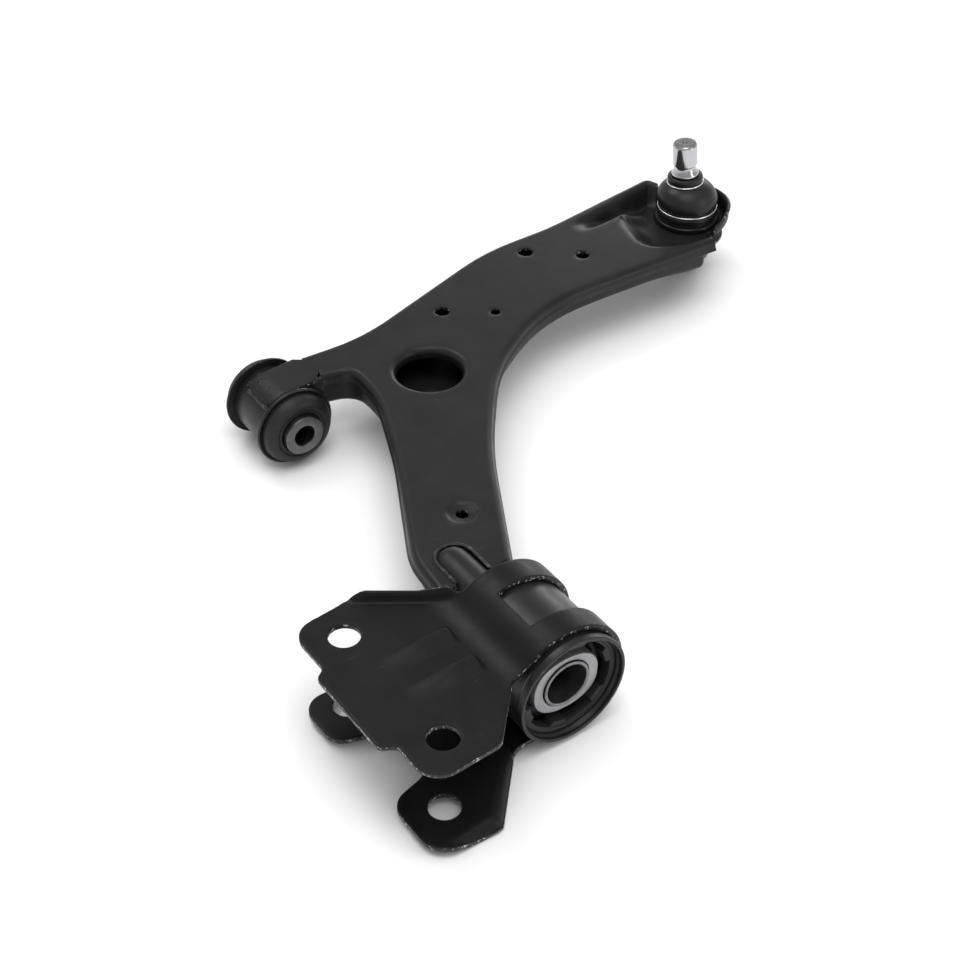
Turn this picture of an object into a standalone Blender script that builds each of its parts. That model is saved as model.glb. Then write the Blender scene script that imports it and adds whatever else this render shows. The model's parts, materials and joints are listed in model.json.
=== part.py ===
"""Front lower control arm: pressed-steel arm, two rubber bushes, bolt-on rear bracket and ball joint."""
import math

import bpy
import bmesh
import numpy as np
from mathutils import Vector
from mathutils.geometry import delaunay_2d_cdt

for old in list(bpy.data.objects):
    bpy.data.objects.remove(old, do_unlink=True)

# ---- driving dimensions, millimetres ----------------------------------------
MM = 0.001
GAP = 0.3                      # clearance between touching pieces
ROW_SHIFT = (174.274, -132.497, 3.2)   # design frame to row frame

SHEET = 2.6                    # wall of the two arm pressings
TOP_Z = 47.5                   # top of the arm at the rear end of the leg
TOP_SLOPE = 0.01463            # rise of the top per millimetre towards the front
LIP_DROP = 7.5                # height of the turned-down edge of the upper pressing
FOLD_R = 5.0                   # outside radius of that edge
FLOOR_LOW = 21.5               # underside of the lower pressing at the leg
FLOOR_HIGH = 29.5              # underside of the lower pressing along the arm
FLOOR_DIP = 4.5                # drop of that underside at the ball joint

REAR_Z = 35.0                  # rear bush axis height
CAN_R = 34.4                   # rear bush can
STRAP_R = 38.2                 # outside of the bracket straps
BLEND_TOP, BLEND_LOW = 30.0, 10.0   # bends between the plates and their straps
MOUTH_R = 31.6                 # bore of the rear bush can
PLATE = 3.5                    # bracket plate thickness
PLATE_TOP = 58.0               # top face of the upper bracket plate
PLATE_LOW = 1.6                # bottom face of the lower bracket plate
BOLT_X = (6.0, -86.0)          # bracket bolt positions along the axis
BOLT_Y = (-88.5, -91.0)
BOLT_R = 9.0
PIN_R = 15.0
PIN_BORE = 13.0

FRONT_Y, FRONT_Z = 1.5, 24.0   # front bush axis
EYE_R = 22.6                   # front eye tube
EYE_BORE = 19.8
FLANGE_R = 27.2
SLEEVE_R, SLEEVE_BORE = 13.6, 7.25
FRONT_NEAR, FRONT_FAR = -286.5, -354.5   # sleeve ends

BALL = (-336.0, 354.0, 29.0)   # ball centre
BALL_R = 13.5
LEAN = (-4.6, -2.5)            # stud top offset from the housing axis at rest
STUD_TOP = 98.0
POCKET_Z = 37.0                # pocket floor that carries the ball housing
POCKET_BORE = 20.8             # hole for the ball housing in both pressings
NECK_X = (-330.8, -303.2)      # sides of the tongue that wraps the front eye
SLOT_X, SLOT_R = -114.0, 12.0  # slot over the rear pin


# ---- small helpers ----------------------------------------------------------
def material(name, color, metal, rough):
    mat = bpy.data.materials.new(name)
    mat.use_nodes = True
    bsdf = mat.node_tree.nodes["Principled BSDF"]
    bsdf.inputs["Base Color"].default_value = (*color, 1.0)
    bsdf.inputs["Metallic"].default_value = metal
    bsdf.inputs["Roughness"].default_value = rough
    mat.diffuse_color = (*color, 1.0)
    return mat


BLACK = (0.012, 0.012, 0.013)
STEEL = (0.55, 0.55, 0.56)
RUBBER = (0.015, 0.015, 0.015)


def to_row(p):
    return tuple((p[i] + ROW_SHIFT[i]) * MM for i in range(3))


def add_mesh(name, verts, faces, color, metal, rough, joint=(0.0, 0.0, 0.0), sharp=34.0):
    """One object from millimetre vertices, its origin put on the given point."""
    org = Vector(to_row(joint))
    mesh = bpy.data.meshes.new(name)
    mesh.from_pydata([tuple(Vector(to_row(v)) - org) for v in verts], [], faces)
    bm = bmesh.new()
    bm.from_mesh(mesh)
    bmesh.ops.remove_doubles(bm, verts=bm.verts, dist=1e-7)
    bmesh.ops.recalc_face_normals(bm, faces=bm.faces)
    bm.to_mesh(mesh)
    bm.free()
    for poly in mesh.polygons:
        poly.use_smooth = True
    mesh.set_sharp_from_angle(angle=math.radians(sharp))
    obj = bpy.data.objects.new(name, mesh)
    obj.location = org
    mesh.materials.append(material(name + "_mat", color, metal, rough))
    bpy.context.scene.collection.objects.link(obj)
    return obj


def smooth(a, b, t):
    t = min(1.0, max(0.0, (t - a) / (b - a)))
    return t * t * (3.0 - 2.0 * t)


def rounded(corners, step=12.0, turn=18.0, closed=False):
    """Path through (x, y, radius) corners, each corner an arc, straights cut to the step."""
    n = len(corners)
    pts = []
    for i, (x, y, r) in enumerate(corners):
        here = np.array((x, y), float)
        if (not closed and i in (0, n - 1)) or r <= 0.0:
            pts.append(here)
            continue
        a = np.array(corners[i - 1][:2], float) - here
        b = np.array(corners[(i + 1) % n][:2], float) - here
        a /= np.linalg.norm(a)
        b /= np.linalg.norm(b)
        half = math.acos(max(-1.0, min(1.0, float(a @ b)))) / 2.0
        reach = r / math.tan(half)
        mid = (a + b) / np.linalg.norm(a + b)
        cen = here + mid * (r / math.sin(half))
        p0, p1 = here + a * reach - cen, here + b * reach - cen
        a0 = math.atan2(p0[1], p0[0])
        sweep = (math.atan2(p1[1], p1[0]) - a0 + math.pi) % (2 * math.pi) - math.pi
        k = max(1, int(math.ceil(abs(math.degrees(sweep)) / turn)))
        for j in range(k + 1):
            t = a0 + sweep * j / k
            pts.append(cen + r * np.array((math.cos(t), math.sin(t))))
    if closed:
        pts.append(pts[0])
    out = [pts[0]]
    for p in pts[1:]:
        d = np.linalg.norm(p - out[-1])
        if d < 0.02:
            continue
        k = max(1, int(math.ceil(d / step)))
        start = out[-1]
        for j in range(1, k + 1):
            out.append(start + (p - start) * j / k)
    return np.array(out[:-1] if closed else out)


def inward(path):
    """Unit normals on the left of the path's direction."""
    t = np.gradient(path, axis=0)
    t /= np.linalg.norm(t, axis=1)[:, None]
    return np.c_[-t[:, 1], t[:, 0]]


def ring(cx, cy, r, n, a0=0.0, a1=360.0):
    full = abs(a1 - a0) > 359.0
    k = n if full else n - 1
    a = np.radians(a0 + (a1 - a0) * np.arange(n) / k)
    return np.c_[cx + r * np.cos(a), cy + r * np.sin(a)]


def inside(p, loop):
    x, y = p
    x0, y0 = loop[:, 0], loop[:, 1]
    x1, y1 = np.roll(x0, -1), np.roll(y0, -1)
    hit = (y0 > y) != (y1 > y)
    den = np.where(np.abs(y1 - y0) < 1e-12, 1e-12, y1 - y0)
    return bool(np.count_nonzero(hit & (x < (x1 - x0) * (y - y0) / den + x0)) % 2)


def gap_to(p, path):
    a, b = path[:-1], path[1:]
    d = b - a
    t = np.clip(np.sum((p - a) * d, axis=1) / np.sum(d * d, axis=1), 0.0, 1.0)
    return float(np.min(np.linalg.norm(a + d * t[:, None] - p, axis=1)))


def fill(outer, holes, extra):
    """Triangles of a plane region with holes; extra points are used when well inside."""
    pts, edges = [], []
    for loop in [outer] + holes:
        s = len(pts)
        pts += [tuple(q) for q in loop]
        edges += [(s + i, s + (i + 1) % len(loop)) for i in range(len(loop))]
    closed = [np.vstack([q, q[:1]]) for q in [outer] + holes]
    for q in extra:
        q = np.array(q, float)
        if not inside(q, outer) or any(inside(q, h) for h in holes):
            continue
        if min(gap_to(q, c) for c in closed) > 2.2:
            pts.append(tuple(q))
    v, _, f, *_ = delaunay_2d_cdt([Vector(q) for q in pts], edges, [], 0, 1e-5)
    v = np.array([(q.x, q.y) for q in v])
    keep = []
    for tri in f:
        c = v[list(tri)].mean(axis=0)
        if inside(c, outer) and not any(inside(c, h) for h in holes):
            keep.append(tuple(tri))
    return v, keep


def solid(outer, inner, faces):
    """Close a sheet given matching outer and inner vertices and its faces."""
    n = len(outer)
    verts = [tuple(p) for p in outer] + [tuple(p) for p in inner]
    out = [tuple(f) for f in faces] + [tuple(n + i for i in reversed(f)) for f in faces]
    used = {}
    for f in faces:
        for i in range(len(f)):
            used[(f[i], f[(i + 1) % len(f)])] = True
    for a, b in used:
        if (b, a) not in used:
            out.append((b, a, n + a, n + b))
    return verts, out


def vertex_normals(verts, faces):
    nrm = np.zeros_like(verts)
    for f in faces:
        p = verts[list(f)]
        c = np.zeros(3)
        for i in range(1, len(f) - 1):
            c += np.cross(p[i] - p[0], p[i + 1] - p[0])
        c /= max(1e-12, np.linalg.norm(c))
        for k in range(len(f)):
            a = p[k - 1] - p[k]
            b = p[(k + 1) % len(f)] - p[k]
            w = math.acos(max(-1.0, min(1.0, float(a @ b) / (np.linalg.norm(a) * np.linalg.norm(b)))))
            nrm[f[k]] += c * w
    return nrm / np.linalg.norm(nrm, axis=1)[:, None]


def weld(verts, faces):
    """Merge vertices closer than a fiftieth of a millimetre and drop collapsed faces."""
    cells, new, back = {}, [], []
    for p in verts:
        p = np.array(p, float)
        cell = tuple(int(c) for c in np.floor(p / 0.5))
        found = None
        for dx in (-1, 0, 1):
            for dy in (-1, 0, 1):
                for dz in (-1, 0, 1):
                    for i in cells.get((cell[0] + dx, cell[1] + dy, cell[2] + dz), ()):
                        if np.linalg.norm(new[i] - p) < 0.02:
                            found = i
        if found is None:
            found = len(new)
            new.append(p)
            cells.setdefault(cell, []).append(found)
        back.append(found)
    out = []
    for f in faces:
        g = []
        for i in f:
            if back[i] not in g:
                g.append(back[i])
        if len(g) > 2:
            out.append(tuple(g))
    return np.array(new), out


def revolve(profile, centre, axis, n, close=True):
    """Turn (radius, along) points about an axis through centre; points on the axis become poles."""
    ax = Vector(axis).normalized()
    u = ax.orthogonal().normalized() if abs(ax.z) > 0.9 else Vector((0.0, 0.0, 1.0)).cross(ax).normalized()
    w = ax.cross(u)
    cen = Vector(centre)
    rows, verts, faces = [], [], []
    for r, h in profile:
        if r < 1e-6:
            rows.append([len(verts)] * n)
            verts.append(tuple(cen + ax * h))
            continue
        rows.append([len(verts) + i for i in range(n)])
        for i in range(n):
            t = 2 * math.pi * i / n
            verts.append(tuple(cen + ax * h + (u * math.cos(t) + w * math.sin(t)) * r))
    pairs = list(zip(rows, rows[1:])) + ([(rows[-1], rows[0])] if close else [])
    for a, b in pairs:
        for i in range(n):
            j = (i + 1) % n
            quad = []
            for q in (a[i], a[j], b[j], b[i]):
                if q not in quad:
                    quad.append(q)
            if len(quad) > 2:
                faces.append(tuple(quad))
    return verts, faces


# ---- arm outline ------------------------------------------------------------
FAR_SIDE = [(-331.0, 26.0, 0), (-328.5, 70.0, 134), (-366.7, 195.0, 167), (-366.7, 250.0, 200),
            (-380.0, 351.0, 7), (-369.5, 354.6, 0)]
NEAR_SIDE = [(-284.5, 338.0, 0), (-289.5, 191.0, 116), (-252.7, 127.2, 150), (-189.5, 77.8, 340),
             (-94.0, 26.0, 0)]
INNER_SIDE = [(-305.5, 26.0, 0), (-300.5, 45.5, 10), (-268.3, 45.3, 100), (-209.0, 21.0, 380),
              (-129.0, -20.6, 60), (-94.0, -24.2, 0)]
SMALL_HOLES = [(-348.0, 218.0, 5.1), (-323.0, 249.0, 4.7), (-321.0, 130.0, 5.1), (-301.0, 159.0, 3.6),
               (-144.6, 25.8, 4.0)]
BIG_HOLE = (-272.5, 87.5, 21.7)
TIP_R = 30.5                   # upright lip round the ball joint
LEG_END = -94.0                # rear end of the leg


def top_plane(x):
    return TOP_Z - TOP_SLOPE * (x + 115.0)


def arm_paths(step):
    """Outline paths, material always on the left: far side, near side, inner side, tip."""
    far = rounded(FAR_SIDE, step)[::-1]
    near = rounded(NEAR_SIDE, step)[::-1]
    inner = rounded(INNER_SIDE, step)
    tip = ring(BALL[0], BALL[1], TIP_R, int(round(300.0 / step)), 14.0, 178.0)
    return far, near, inner, tip


def top_height(x, y, far, near):
    """Top face of the upper pressing, with the pocket round the ball joint."""
    z = top_plane(x)
    q = np.array((x, y))
    reach = math.hypot(x - BALL[0], y - BALL[1])
    if reach < 64.0:
        dip = smooth(62.0, 32.0, reach)
        if reach > 26.0:
            dip *= smooth(FOLD_R, 15.0, min(gap_to(q, far), gap_to(q, near)))
        z += (POCKET_Z - z) * dip
    hx, hy = SMALL_HOLES[4][:2]
    z -= 1.3 * smooth(10.5, 7.0, math.hypot(x - hx, y - hy))
    if y < 26.0 and x < -290.0:
        z += (FRONT_Z + EYE_R + GAP + SHEET - z) * smooth(26.0, FRONT_Y, y)
    return z


def tongue(p):
    """Wrap the end of the upper pressing over the front eye."""
    x, y, z = p
    if y >= FRONT_Y or x > -290.0:
        return p
    r = EYE_R + GAP + SHEET
    t = (FRONT_Y - y) / r
    return (x, FRONT_Y - r * math.sin(t), FRONT_Z + r * math.cos(t))


def strip(path, profile, height):
    """Edge of a pressing: rings of (inset, drop) along a path; first ring is the free edge."""
    nrm = inward(path)
    rows = []
    for d, drop in profile:
        xy = path + nrm * d
        rows.append([(x, y, height(x, y, drop)) for x, y in xy])
    return rows


def stitch(rows, verts, faces):
    base = len(verts)
    n = len(rows[0])
    for row in rows:
        verts.extend(row)
    for k in range(len(rows) - 1):
        for i in range(n - 1):
            a = base + k * n + i
            faces.append((a, a + 1, a + n + 1, a + n))


def upper_shell():
    far, near, inner, tip = arm_paths(17.0)

    def lip(x, y, drop):
        return top_plane(x) - drop if drop > 0.0 else top_height(x, y, far, near)

    def rim(x, y, rise):
        return POCKET_Z + rise if rise > 0.0 else top_height(x, y, far, near)

    bend = FOLD_R * (1.0 - math.cos(math.pi / 4.0))
    fold = [(-0.8, LIP_DROP), (0.0, FOLD_R), (bend, bend), (FOLD_R, 0.0)]
    upstand = [(SHEET, 13.0), (SHEET, 3.5), (4.2, 1.0), (7.0, 0.0)]
    verts, faces = [], []
    edges = []
    for path in (far, near, inner):
        rows = strip(path, fold, lip)
        stitch(rows, verts, faces)
        edges.append(np.array(rows[-1])[:, :2])
    rows = strip(tip, upstand, rim)
    stitch(rows, verts, faces)
    tip_in = np.array(rows[-1])[:, :2]
    far_in, near_in, inner_in = edges
    west, east = NECK_X
    side = (20.0, 11.0, FRONT_Y, -4.0, -9.5, -14.8)
    neck = [(west, y) for y in side] + [((west + east) / 2.0, side[-1])] + [(east, y) for y in side[::-1]]
    notch = np.vstack([[(LEG_END, -SLOT_R)], ring(SLOT_X, 0.0, SLOT_R, 9, 270.0, 90.0), [(LEG_END, SLOT_R)]])
    outer = np.vstack([far_in, neck, inner_in, notch, near_in, tip_in])
    holes = [ring(x, y, r, 10) for x, y, r in SMALL_HOLES]
    holes.append(ring(BIG_HOLE[0], BIG_HOLE[1], BIG_HOLE[2] + 5.0, 22))
    holes.append(ring(BALL[0], BALL[1], POCKET_BORE, 24))
    extra = []
    for r, n in ((25.5, 16), (32.0, 16), (38.0, 18), (45.0, 20), (53.0, 20), (62.0, 20)):
        extra += list(ring(BALL[0], BALL[1], r, n))
    for d in (4.0, 9.0):
        for path in (far_in, near_in):
            pts = path + inward(path) * d
            extra += [q for q in pts if TIP_R < math.hypot(q[0] - BALL[0], q[1] - BALL[1]) < 62.0]
    hx, hy = SMALL_HOLES[4][:2]
    extra += list(ring(hx, hy, 10.5, 12)) + list(ring(hx, hy, 7.0, 12))
    extra += [(x, y) for y in (FRONT_Y, -4.0, -9.5) for x in (-322.0, -312.0)]
    extra += [(x, y) for x in range(-360, -100, 32) for y in range(-20, 290, 32)]
    v2, tri = fill(outer, holes, extra)
    base = len(verts)
    verts.extend(tongue((x, y, top_height(x, y, far, near))) for x, y in v2)
    faces.extend(tuple(base + i for i in f) for f in tri)
    cx, cy, cr = BIG_HOLE
    rows = []
    for r, drop in ((cr + 5.0, 0.0), (cr + 1.5, 1.5), (cr, 6.5)):
        loop = ring(cx, cy, r, 22)
        loop = np.vstack([loop, loop[:1]])
        rows.append([(x, y, top_height(x, y, far, near) - drop) for x, y in loop])
    stitch(rows, verts, faces)
    finish_sheet("upper_shell", verts, faces, 1.0)


def lower_floor(x, y):
    """Underside of the lower pressing: level, raised at the ball joint, with a trough under the pin."""
    z = FLOOR_LOW + (FLOOR_HIGH - FLOOR_LOW) * smooth(110.0, 250.0, y) - FLOOR_DIP * smooth(280.0, 335.0, y)
    r = PIN_R + SHEET + 0.8
    if x > -137.0 and abs(y) < r:
        trough = REAR_Z - math.sqrt(r * r - y * y)
        z += (min(z, trough) - z) * smooth(-137.0, -127.0, x)
    return z


TROUGH_Y = (-12.0, -9.0, -4.5, 0.0, 4.5, 9.0, 12.5)


def lower_shell():
    far = rounded([FAR_SIDE[0]] + FAR_SIDE[1:4] + [(-378.0, 343.0, 0)], 18.0)[::-1]
    near = rounded([(-294.5, 341.2, 0), (-284.7, 336.0, 10.5)] + NEAR_SIDE[1:], 18.0)[::-1]
    inner = rounded(INNER_SIDE, 18.0)
    top_far, top_near = arm_paths(17.0)[:2]

    def wall(x, y, mark):
        if mark < 0.0:
            under_rim = 3.0 * smooth(290.0, 315.0, y) if x < BALL[0] else 0.0
            under_top = top_height(x, y, top_far, top_near) - SHEET - 5.2
            return min(top_plane(x) + mark - under_rim, under_top)
        return lower_floor(x, y) + mark

    fold = [(3.3, -5.2), (3.7, 4.5), (5.2, 1.3), (9.0, 0.0)]
    verts, faces, edges = [], [], []
    for path in (far, near, inner):
        rows = strip(path, fold, wall)
        stitch(rows, verts, faces)
        edges.append(np.array(rows[-1])[:, :2])
    tip = ring(BALL[0], BALL[1], 27.0, 18, 8.0, 176.0)
    rear = [(LEG_END, y) for y in TROUGH_Y]
    outer = np.vstack([edges[0], edges[2], rear, edges[1], tip])
    holes = [ring(BALL[0], BALL[1], POCKET_BORE, 24), ring(BIG_HOLE[0], BIG_HOLE[1], 9.0, 12)]
    holes.append(ring(-160.0, 28.0, 7.0, 12))
    extra = [(x, y) for x in range(-360, -140, 34) for y in range(-20, 340, 34)]
    extra += [(x, y) for x in (-104.0, -115.0, -127.0, -132.0, -138.0) for y in TROUGH_Y]
    extra += list(ring(BALL[0], BALL[1], 30.0, 20)) + list(ring(BALL[0], BALL[1], 42.0, 20))
    v2, tri = fill(outer, holes, extra)
    base = len(verts)
    verts.extend((x, y, lower_floor(x, y)) for x, y in v2)
    faces.extend(tuple(base + i for i in f) for f in tri)
    finish_sheet("lower_shell", verts, faces, -1.0)


def finish_sheet(name, verts, faces, up):
    """Turn the outer face of a pressing into a closed sheet."""
    v, f = weld([tuple(p) for p in verts], faces)
    bm = bmesh.new()
    bv = [bm.verts.new(p) for p in v]
    for face in f:
        bm.faces.new([bv[i] for i in face])
    bmesh.ops.recalc_face_normals(bm, faces=bm.faces)
    bm.normal_update()
    flat = sum(q.normal.z * q.calc_area() for q in bm.faces)
    if flat * up < 0.0:
        bmesh.ops.reverse_faces(bm, faces=bm.faces)
    bm.verts.index_update()
    f = [tuple(q.index for q in face.verts) for face in bm.faces]
    bm.free()
    nrm = vertex_normals(v, f)
    verts, faces = solid(v, v - nrm * SHEET, f)
    add_mesh(name, verts, faces, BLACK, 0.0, 0.35)


# ---- front eye and bush -----------------------------------------------------
AX = (1.0, 0.0, 0.0)
FRONT = (0.0, FRONT_Y, FRONT_Z)
EYE_NEAR, EYE_FAR = -301.2, -338.6


def front_eye():
    prof = [(EYE_R, EYE_FAR), (EYE_R, EYE_NEAR), (EYE_BORE, EYE_NEAR), (EYE_BORE, EYE_FAR)]
    v, f = revolve(prof, FRONT, AX, 32)
    add_mesh("front_eye_tube", v, f, BLACK, 0.0, 0.4)


def front_half(tag, face, sign, tip):
    """Half bush: flanged can and rubber; face is the eye end, sign points outward."""
    def at(r, h):
        return (r, face + sign * h)

    out = EYE_BORE - GAP
    can = [at(FLANGE_R, GAP), at(FLANGE_R, GAP + 1.8), at(FLANGE_R - 1.2, GAP + 2.4),
           at(FLANGE_R - 2.0, GAP + 1.6), at(out - 1.5, GAP + 1.6), at(out - 1.5, -16.0),
           at(out, -16.0), at(out, GAP)]
    v, f = revolve(can, FRONT, AX, 32)
    add_mesh("front_bush_can_" + tag, v, f, BLACK, 0.3, 0.35)
    inner = SLEEVE_R + GAP
    skin = out - 1.5 - GAP
    lift = GAP + 1.6 + GAP
    reach = abs(tip - face)
    rub = [at(inner, -15.0), at(skin, -15.0), at(skin, lift), at(FLANGE_R - 2.9, lift),
           at(FLANGE_R - 3.0, lift + 2.6), at(FLANGE_R - 4.6, lift + 6.2), at(FLANGE_R - 8.0, lift + 8.2),
           at(inner + 3.0, reach - 3.2), at(inner, reach - 2.0)]
    v, f = revolve(rub, FRONT, AX, 32)
    add_mesh("front_bush_rubber_" + tag, v, f, RUBBER, 0.0, 0.55)


def front_sleeve():
    c = 0.8
    prof = [(SLEEVE_R - c, FRONT_NEAR), (SLEEVE_R, FRONT_NEAR - c), (SLEEVE_R, FRONT_FAR + c),
            (SLEEVE_R - c, FRONT_FAR), (SLEEVE_BORE + c, FRONT_FAR), (SLEEVE_BORE, FRONT_FAR + c),
            (SLEEVE_BORE, FRONT_NEAR - c), (SLEEVE_BORE + c, FRONT_NEAR)]
    mid = (FRONT_NEAR + FRONT_FAR) / 2.0
    v, f = revolve([(r, h - mid) for r, h in prof], (mid, FRONT_Y, FRONT_Z), AX, 28)
    add_mesh("front_bush_sleeve", v, f, STEEL, 1.0, 0.4, joint=(mid, FRONT_Y, FRONT_Z))


def bead(name, path, half, up):
    """Weld bead: a low round-backed bar swept along 3-D points, with an outward direction at each."""
    verts, faces = [], []
    n = len(path)
    k = 5
    for i, (p, out) in enumerate(zip(path, up)):
        p, out = Vector(p), Vector(out).normalized()
        a = Vector(path[max(0, i - 1)])
        b = Vector(path[min(n - 1, i + 1)])
        side = (b - a).cross(out).normalized()
        s = 0.55 if i in (0, n - 1) else 1.0
        for j in range(k):
            t = math.pi * j / (k - 1)
            verts.append(tuple(p + side * (half * s * math.cos(t)) + out * (half * 0.75 * s * math.sin(t))))
    for i in range(n - 1):
        for j in range(k):
            a, b = i * k + j, i * k + (j + 1) % k
            faces.append((a, b, b + k, a + k))
    faces.append(tuple(range(k)))
    faces.append(tuple(reversed(range((n - 1) * k, n * k))))
    add_mesh(name, verts, faces, BLACK, 0.0, 0.45)


def eye_welds():
    r = EYE_R + GAP
    ang = 132.4
    c, s = math.cos(math.radians(ang)), math.sin(math.radians(ang))
    at = (FRONT_Y + (r + 0.2) * c, FRONT_Z + (r + 0.2) * s)
    xs = np.linspace(-329.5, -304.5, 7)
    bead("eye_weld_front", [(x, at[0], at[1]) for x in xs], 1.7, [(0.0, c, s)] * 7)
    ang = -14.0
    c, s = math.cos(math.radians(ang)), math.sin(math.radians(ang))
    at = (FRONT_Y + r * c, FRONT_Z + r * s)
    xs = np.linspace(-324.0, -310.0, 5)
    bead("eye_weld_lower", [(x, at[0], at[1]) for x in xs], 1.6, [(0.0, c, s)] * 5)


# ---- rear pin and bush ------------------------------------------------------
REAR = (0.0, 0.0, REAR_Z)


def rear_pin():
    prof = [(PIN_R - 0.7, -6.0), (PIN_R, -6.7), (PIN_R, -110.0), (PIN_R - 0.8, -115.0), (PIN_R - 3.0, -119.0),
            (PIN_BORE - 3.4, -122.5), (PIN_BORE - 6.0, -122.5), (PIN_BORE - 6.0, -114.0), (PIN_BORE, -106.0),
            (PIN_BORE, -6.7), (PIN_BORE + 0.7, -6.0)]
    v, f = revolve(prof, REAR, AX, 28)
    add_mesh("rear_pin", v, f, BLACK, 0.6, 0.4)


def pin_welds():
    """U-shaped bead between the slot edge and the pin, and one round the pin at the leg's end."""
    slot = [(-95.5, -11.5, 0), (-125.5, -11.5, 11.4), (-125.5, 11.5, 11.4), (-95.5, 11.5, 0)]
    path = rounded(slot, 9.0, 22.0)
    pts = [(x, y, top_plane(x) + GAP) for x, y in path]
    bead("pin_weld_upper", pts, 2.2, [(0.0, 0.0, 1.0)] * len(pts))
    r = PIN_R + GAP + 1.8
    angs = np.radians(np.linspace(205.0, 335.0, 10))
    pts = [(-92.4, r * math.cos(a), REAR_Z + r * math.sin(a)) for a in angs]
    bead("pin_weld_lower", pts, 1.7, [(1.0, 0.0, 0.0)] * len(pts))


def oval(a, b, n, power=2.3):
    t = 2 * math.pi * np.arange(n) / n
    c, s = np.cos(t), np.sin(t)
    return np.c_[a * np.sign(c) * np.abs(c) ** (2 / power), b * np.sign(s) * np.abs(s) ** (2 / power)]


def rings_solid(name, rows, color, metal, rough, joint=REAR):
    """Closed tube from loops of equal length; last loop joins the first."""
    verts, faces = [], []
    for x, loop in rows:
        verts.extend((x, joint[1] + q[0], joint[2] + q[1]) for q in loop)
    n = len(rows[0][1])
    m = len(rows)
    for k in range(m):
        for i in range(n):
            j = (i + 1) % n
            kk = (k + 1) % m
            faces.append((k * n + i, k * n + j, kk * n + j, kk * n + i))
    add_mesh(name, verts, faces, color, metal, rough, joint=joint)


def round_loop(r, n):
    t = 2 * math.pi * np.arange(n) / n
    return np.c_[r * np.cos(t), r * np.sin(t)]


def rear_core():
    n = 28
    hole = PIN_R + GAP
    rows = [(-7.0, oval(21.0, 18.0, n)), (-7.6, oval(21.6, 18.6, n)), (-77.4, oval(21.6, 18.6, n)),
            (-78.0, oval(21.0, 18.0, n)), (-78.0, round_loop(hole + 0.6, n)), (-77.4, round_loop(hole, n)),
            (-7.6, round_loop(hole, n)), (-7.0, round_loop(hole + 0.6, n))]
    rings_solid("rear_bush_core", rows, (0.62, 0.62, 0.63), 1.0, 0.45)


def rear_rubber():
    n = 28
    r = MOUTH_R - GAP
    a, b = 21.6 + GAP, 18.6 + GAP
    rows = [(-16.0, oval(a + 1.6, b + 1.6, n)), (-14.0, oval(a + 3.4, b + 3.4, n)),
            (-15.5, round_loop(r - 1.5, n)), (-16.5, round_loop(r, n)), (-63.0, round_loop(r, n)),
            (-64.0, round_loop(r - 1.5, n)), (-66.5, oval(a + 3.4, b + 3.4, n)),
            (-68.0, oval(a + 1.2, b + 1.2, n)), (-67.0, oval(a, b, n)), (-17.5, oval(a, b, n))]
    rings_solid("rear_bush_rubber", rows, RUBBER, 0.0, 0.6)


def stop_ring():
    """Notched travel stop seated in the mouth of the can."""
    n = 48
    r = MOUTH_R - GAP
    t = 360.0 * np.arange(n) / n
    tab = np.array([28.3 - 3.0 * (abs(((a + 12.0) % 60.0) - 30.0) < 11.0) for a in t])
    c, s = np.cos(np.radians(t)), np.sin(np.radians(t))
    inner = np.c_[tab * c, tab * s]
    deep = np.c_[(tab + 0.4) * c, (tab + 0.4) * s]
    rows = [(-4.6, round_loop(r, n)), (-12.5, round_loop(r, n)), (-12.5, deep), (-5.4, inner)]
    rings_solid("rear_bush_stop_ring", rows, (0.02, 0.02, 0.02), 0.0, 0.5)


def rear_can():
    prof = [(34.6, 0.0), (35.0, -0.5), (35.0, -4.6), (CAN_R, -5.4), (CAN_R, -75.0), (CAN_R - 1.0, -76.0),
            (MOUTH_R, -76.0), (MOUTH_R, -4.0), (32.8, -2.2), (32.8, 0.0)]
    v, f = revolve(prof, REAR, AX, 40)
    add_mesh("rear_bush_can", v, f, BLACK, 0.1, 0.4, joint=REAR)


# ---- bracket ----------------------------------------------------------------
STRAP_X = ((-7.0, -24.0), (-55.0, -72.0))   # x limits of the two straps
STRAP_END = 4.0                # angle where each strap ends, from the +Y side


def plate_path(level):
    """Side, bend radius, where the flat ends and the strap angle of a plate that turns into straps."""
    side, r = (1.0, BLEND_TOP) if level > 0.0 else (-1.0, BLEND_LOW)
    h = abs(level) + r
    y = -math.sqrt((STRAP_R + r) ** 2 - h * h)
    return side, r, y, math.atan2(h, y)


def plate_point(x, u, level, lift):
    """Outer face of a bracket plate at developed position (x, u), lifted by lift; and its normal."""
    side, r, y0, a0 = plate_path(level)
    bend = r * (a0 - math.pi / 2.0)
    if u <= y0:
        p = (x, u, abs(level) + lift)
        n = (0.0, 0.0, 1.0)
    elif u <= y0 + bend:
        t = (u - y0) / r
        p = (x, y0 + r * math.sin(t), abs(level) + r * (1.0 - math.cos(t)) + lift)
        n = (0.0, -math.sin(t), math.cos(t))
    else:
        t = a0 - (u - y0 - bend) / STRAP_R
        p = (x, STRAP_R * math.cos(t), STRAP_R * math.sin(t))
        n = (0.0, math.cos(t), math.sin(t))
    return (p[0], p[1], REAR_Z + side * p[2]), (n[0], n[1], side * n[2])


def strap_u(angle, level):
    r, y0, a0 = plate_path(level)[1:]
    return y0 + r * (a0 - math.pi / 2.0) + STRAP_R * (a0 - math.radians(angle))


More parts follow.
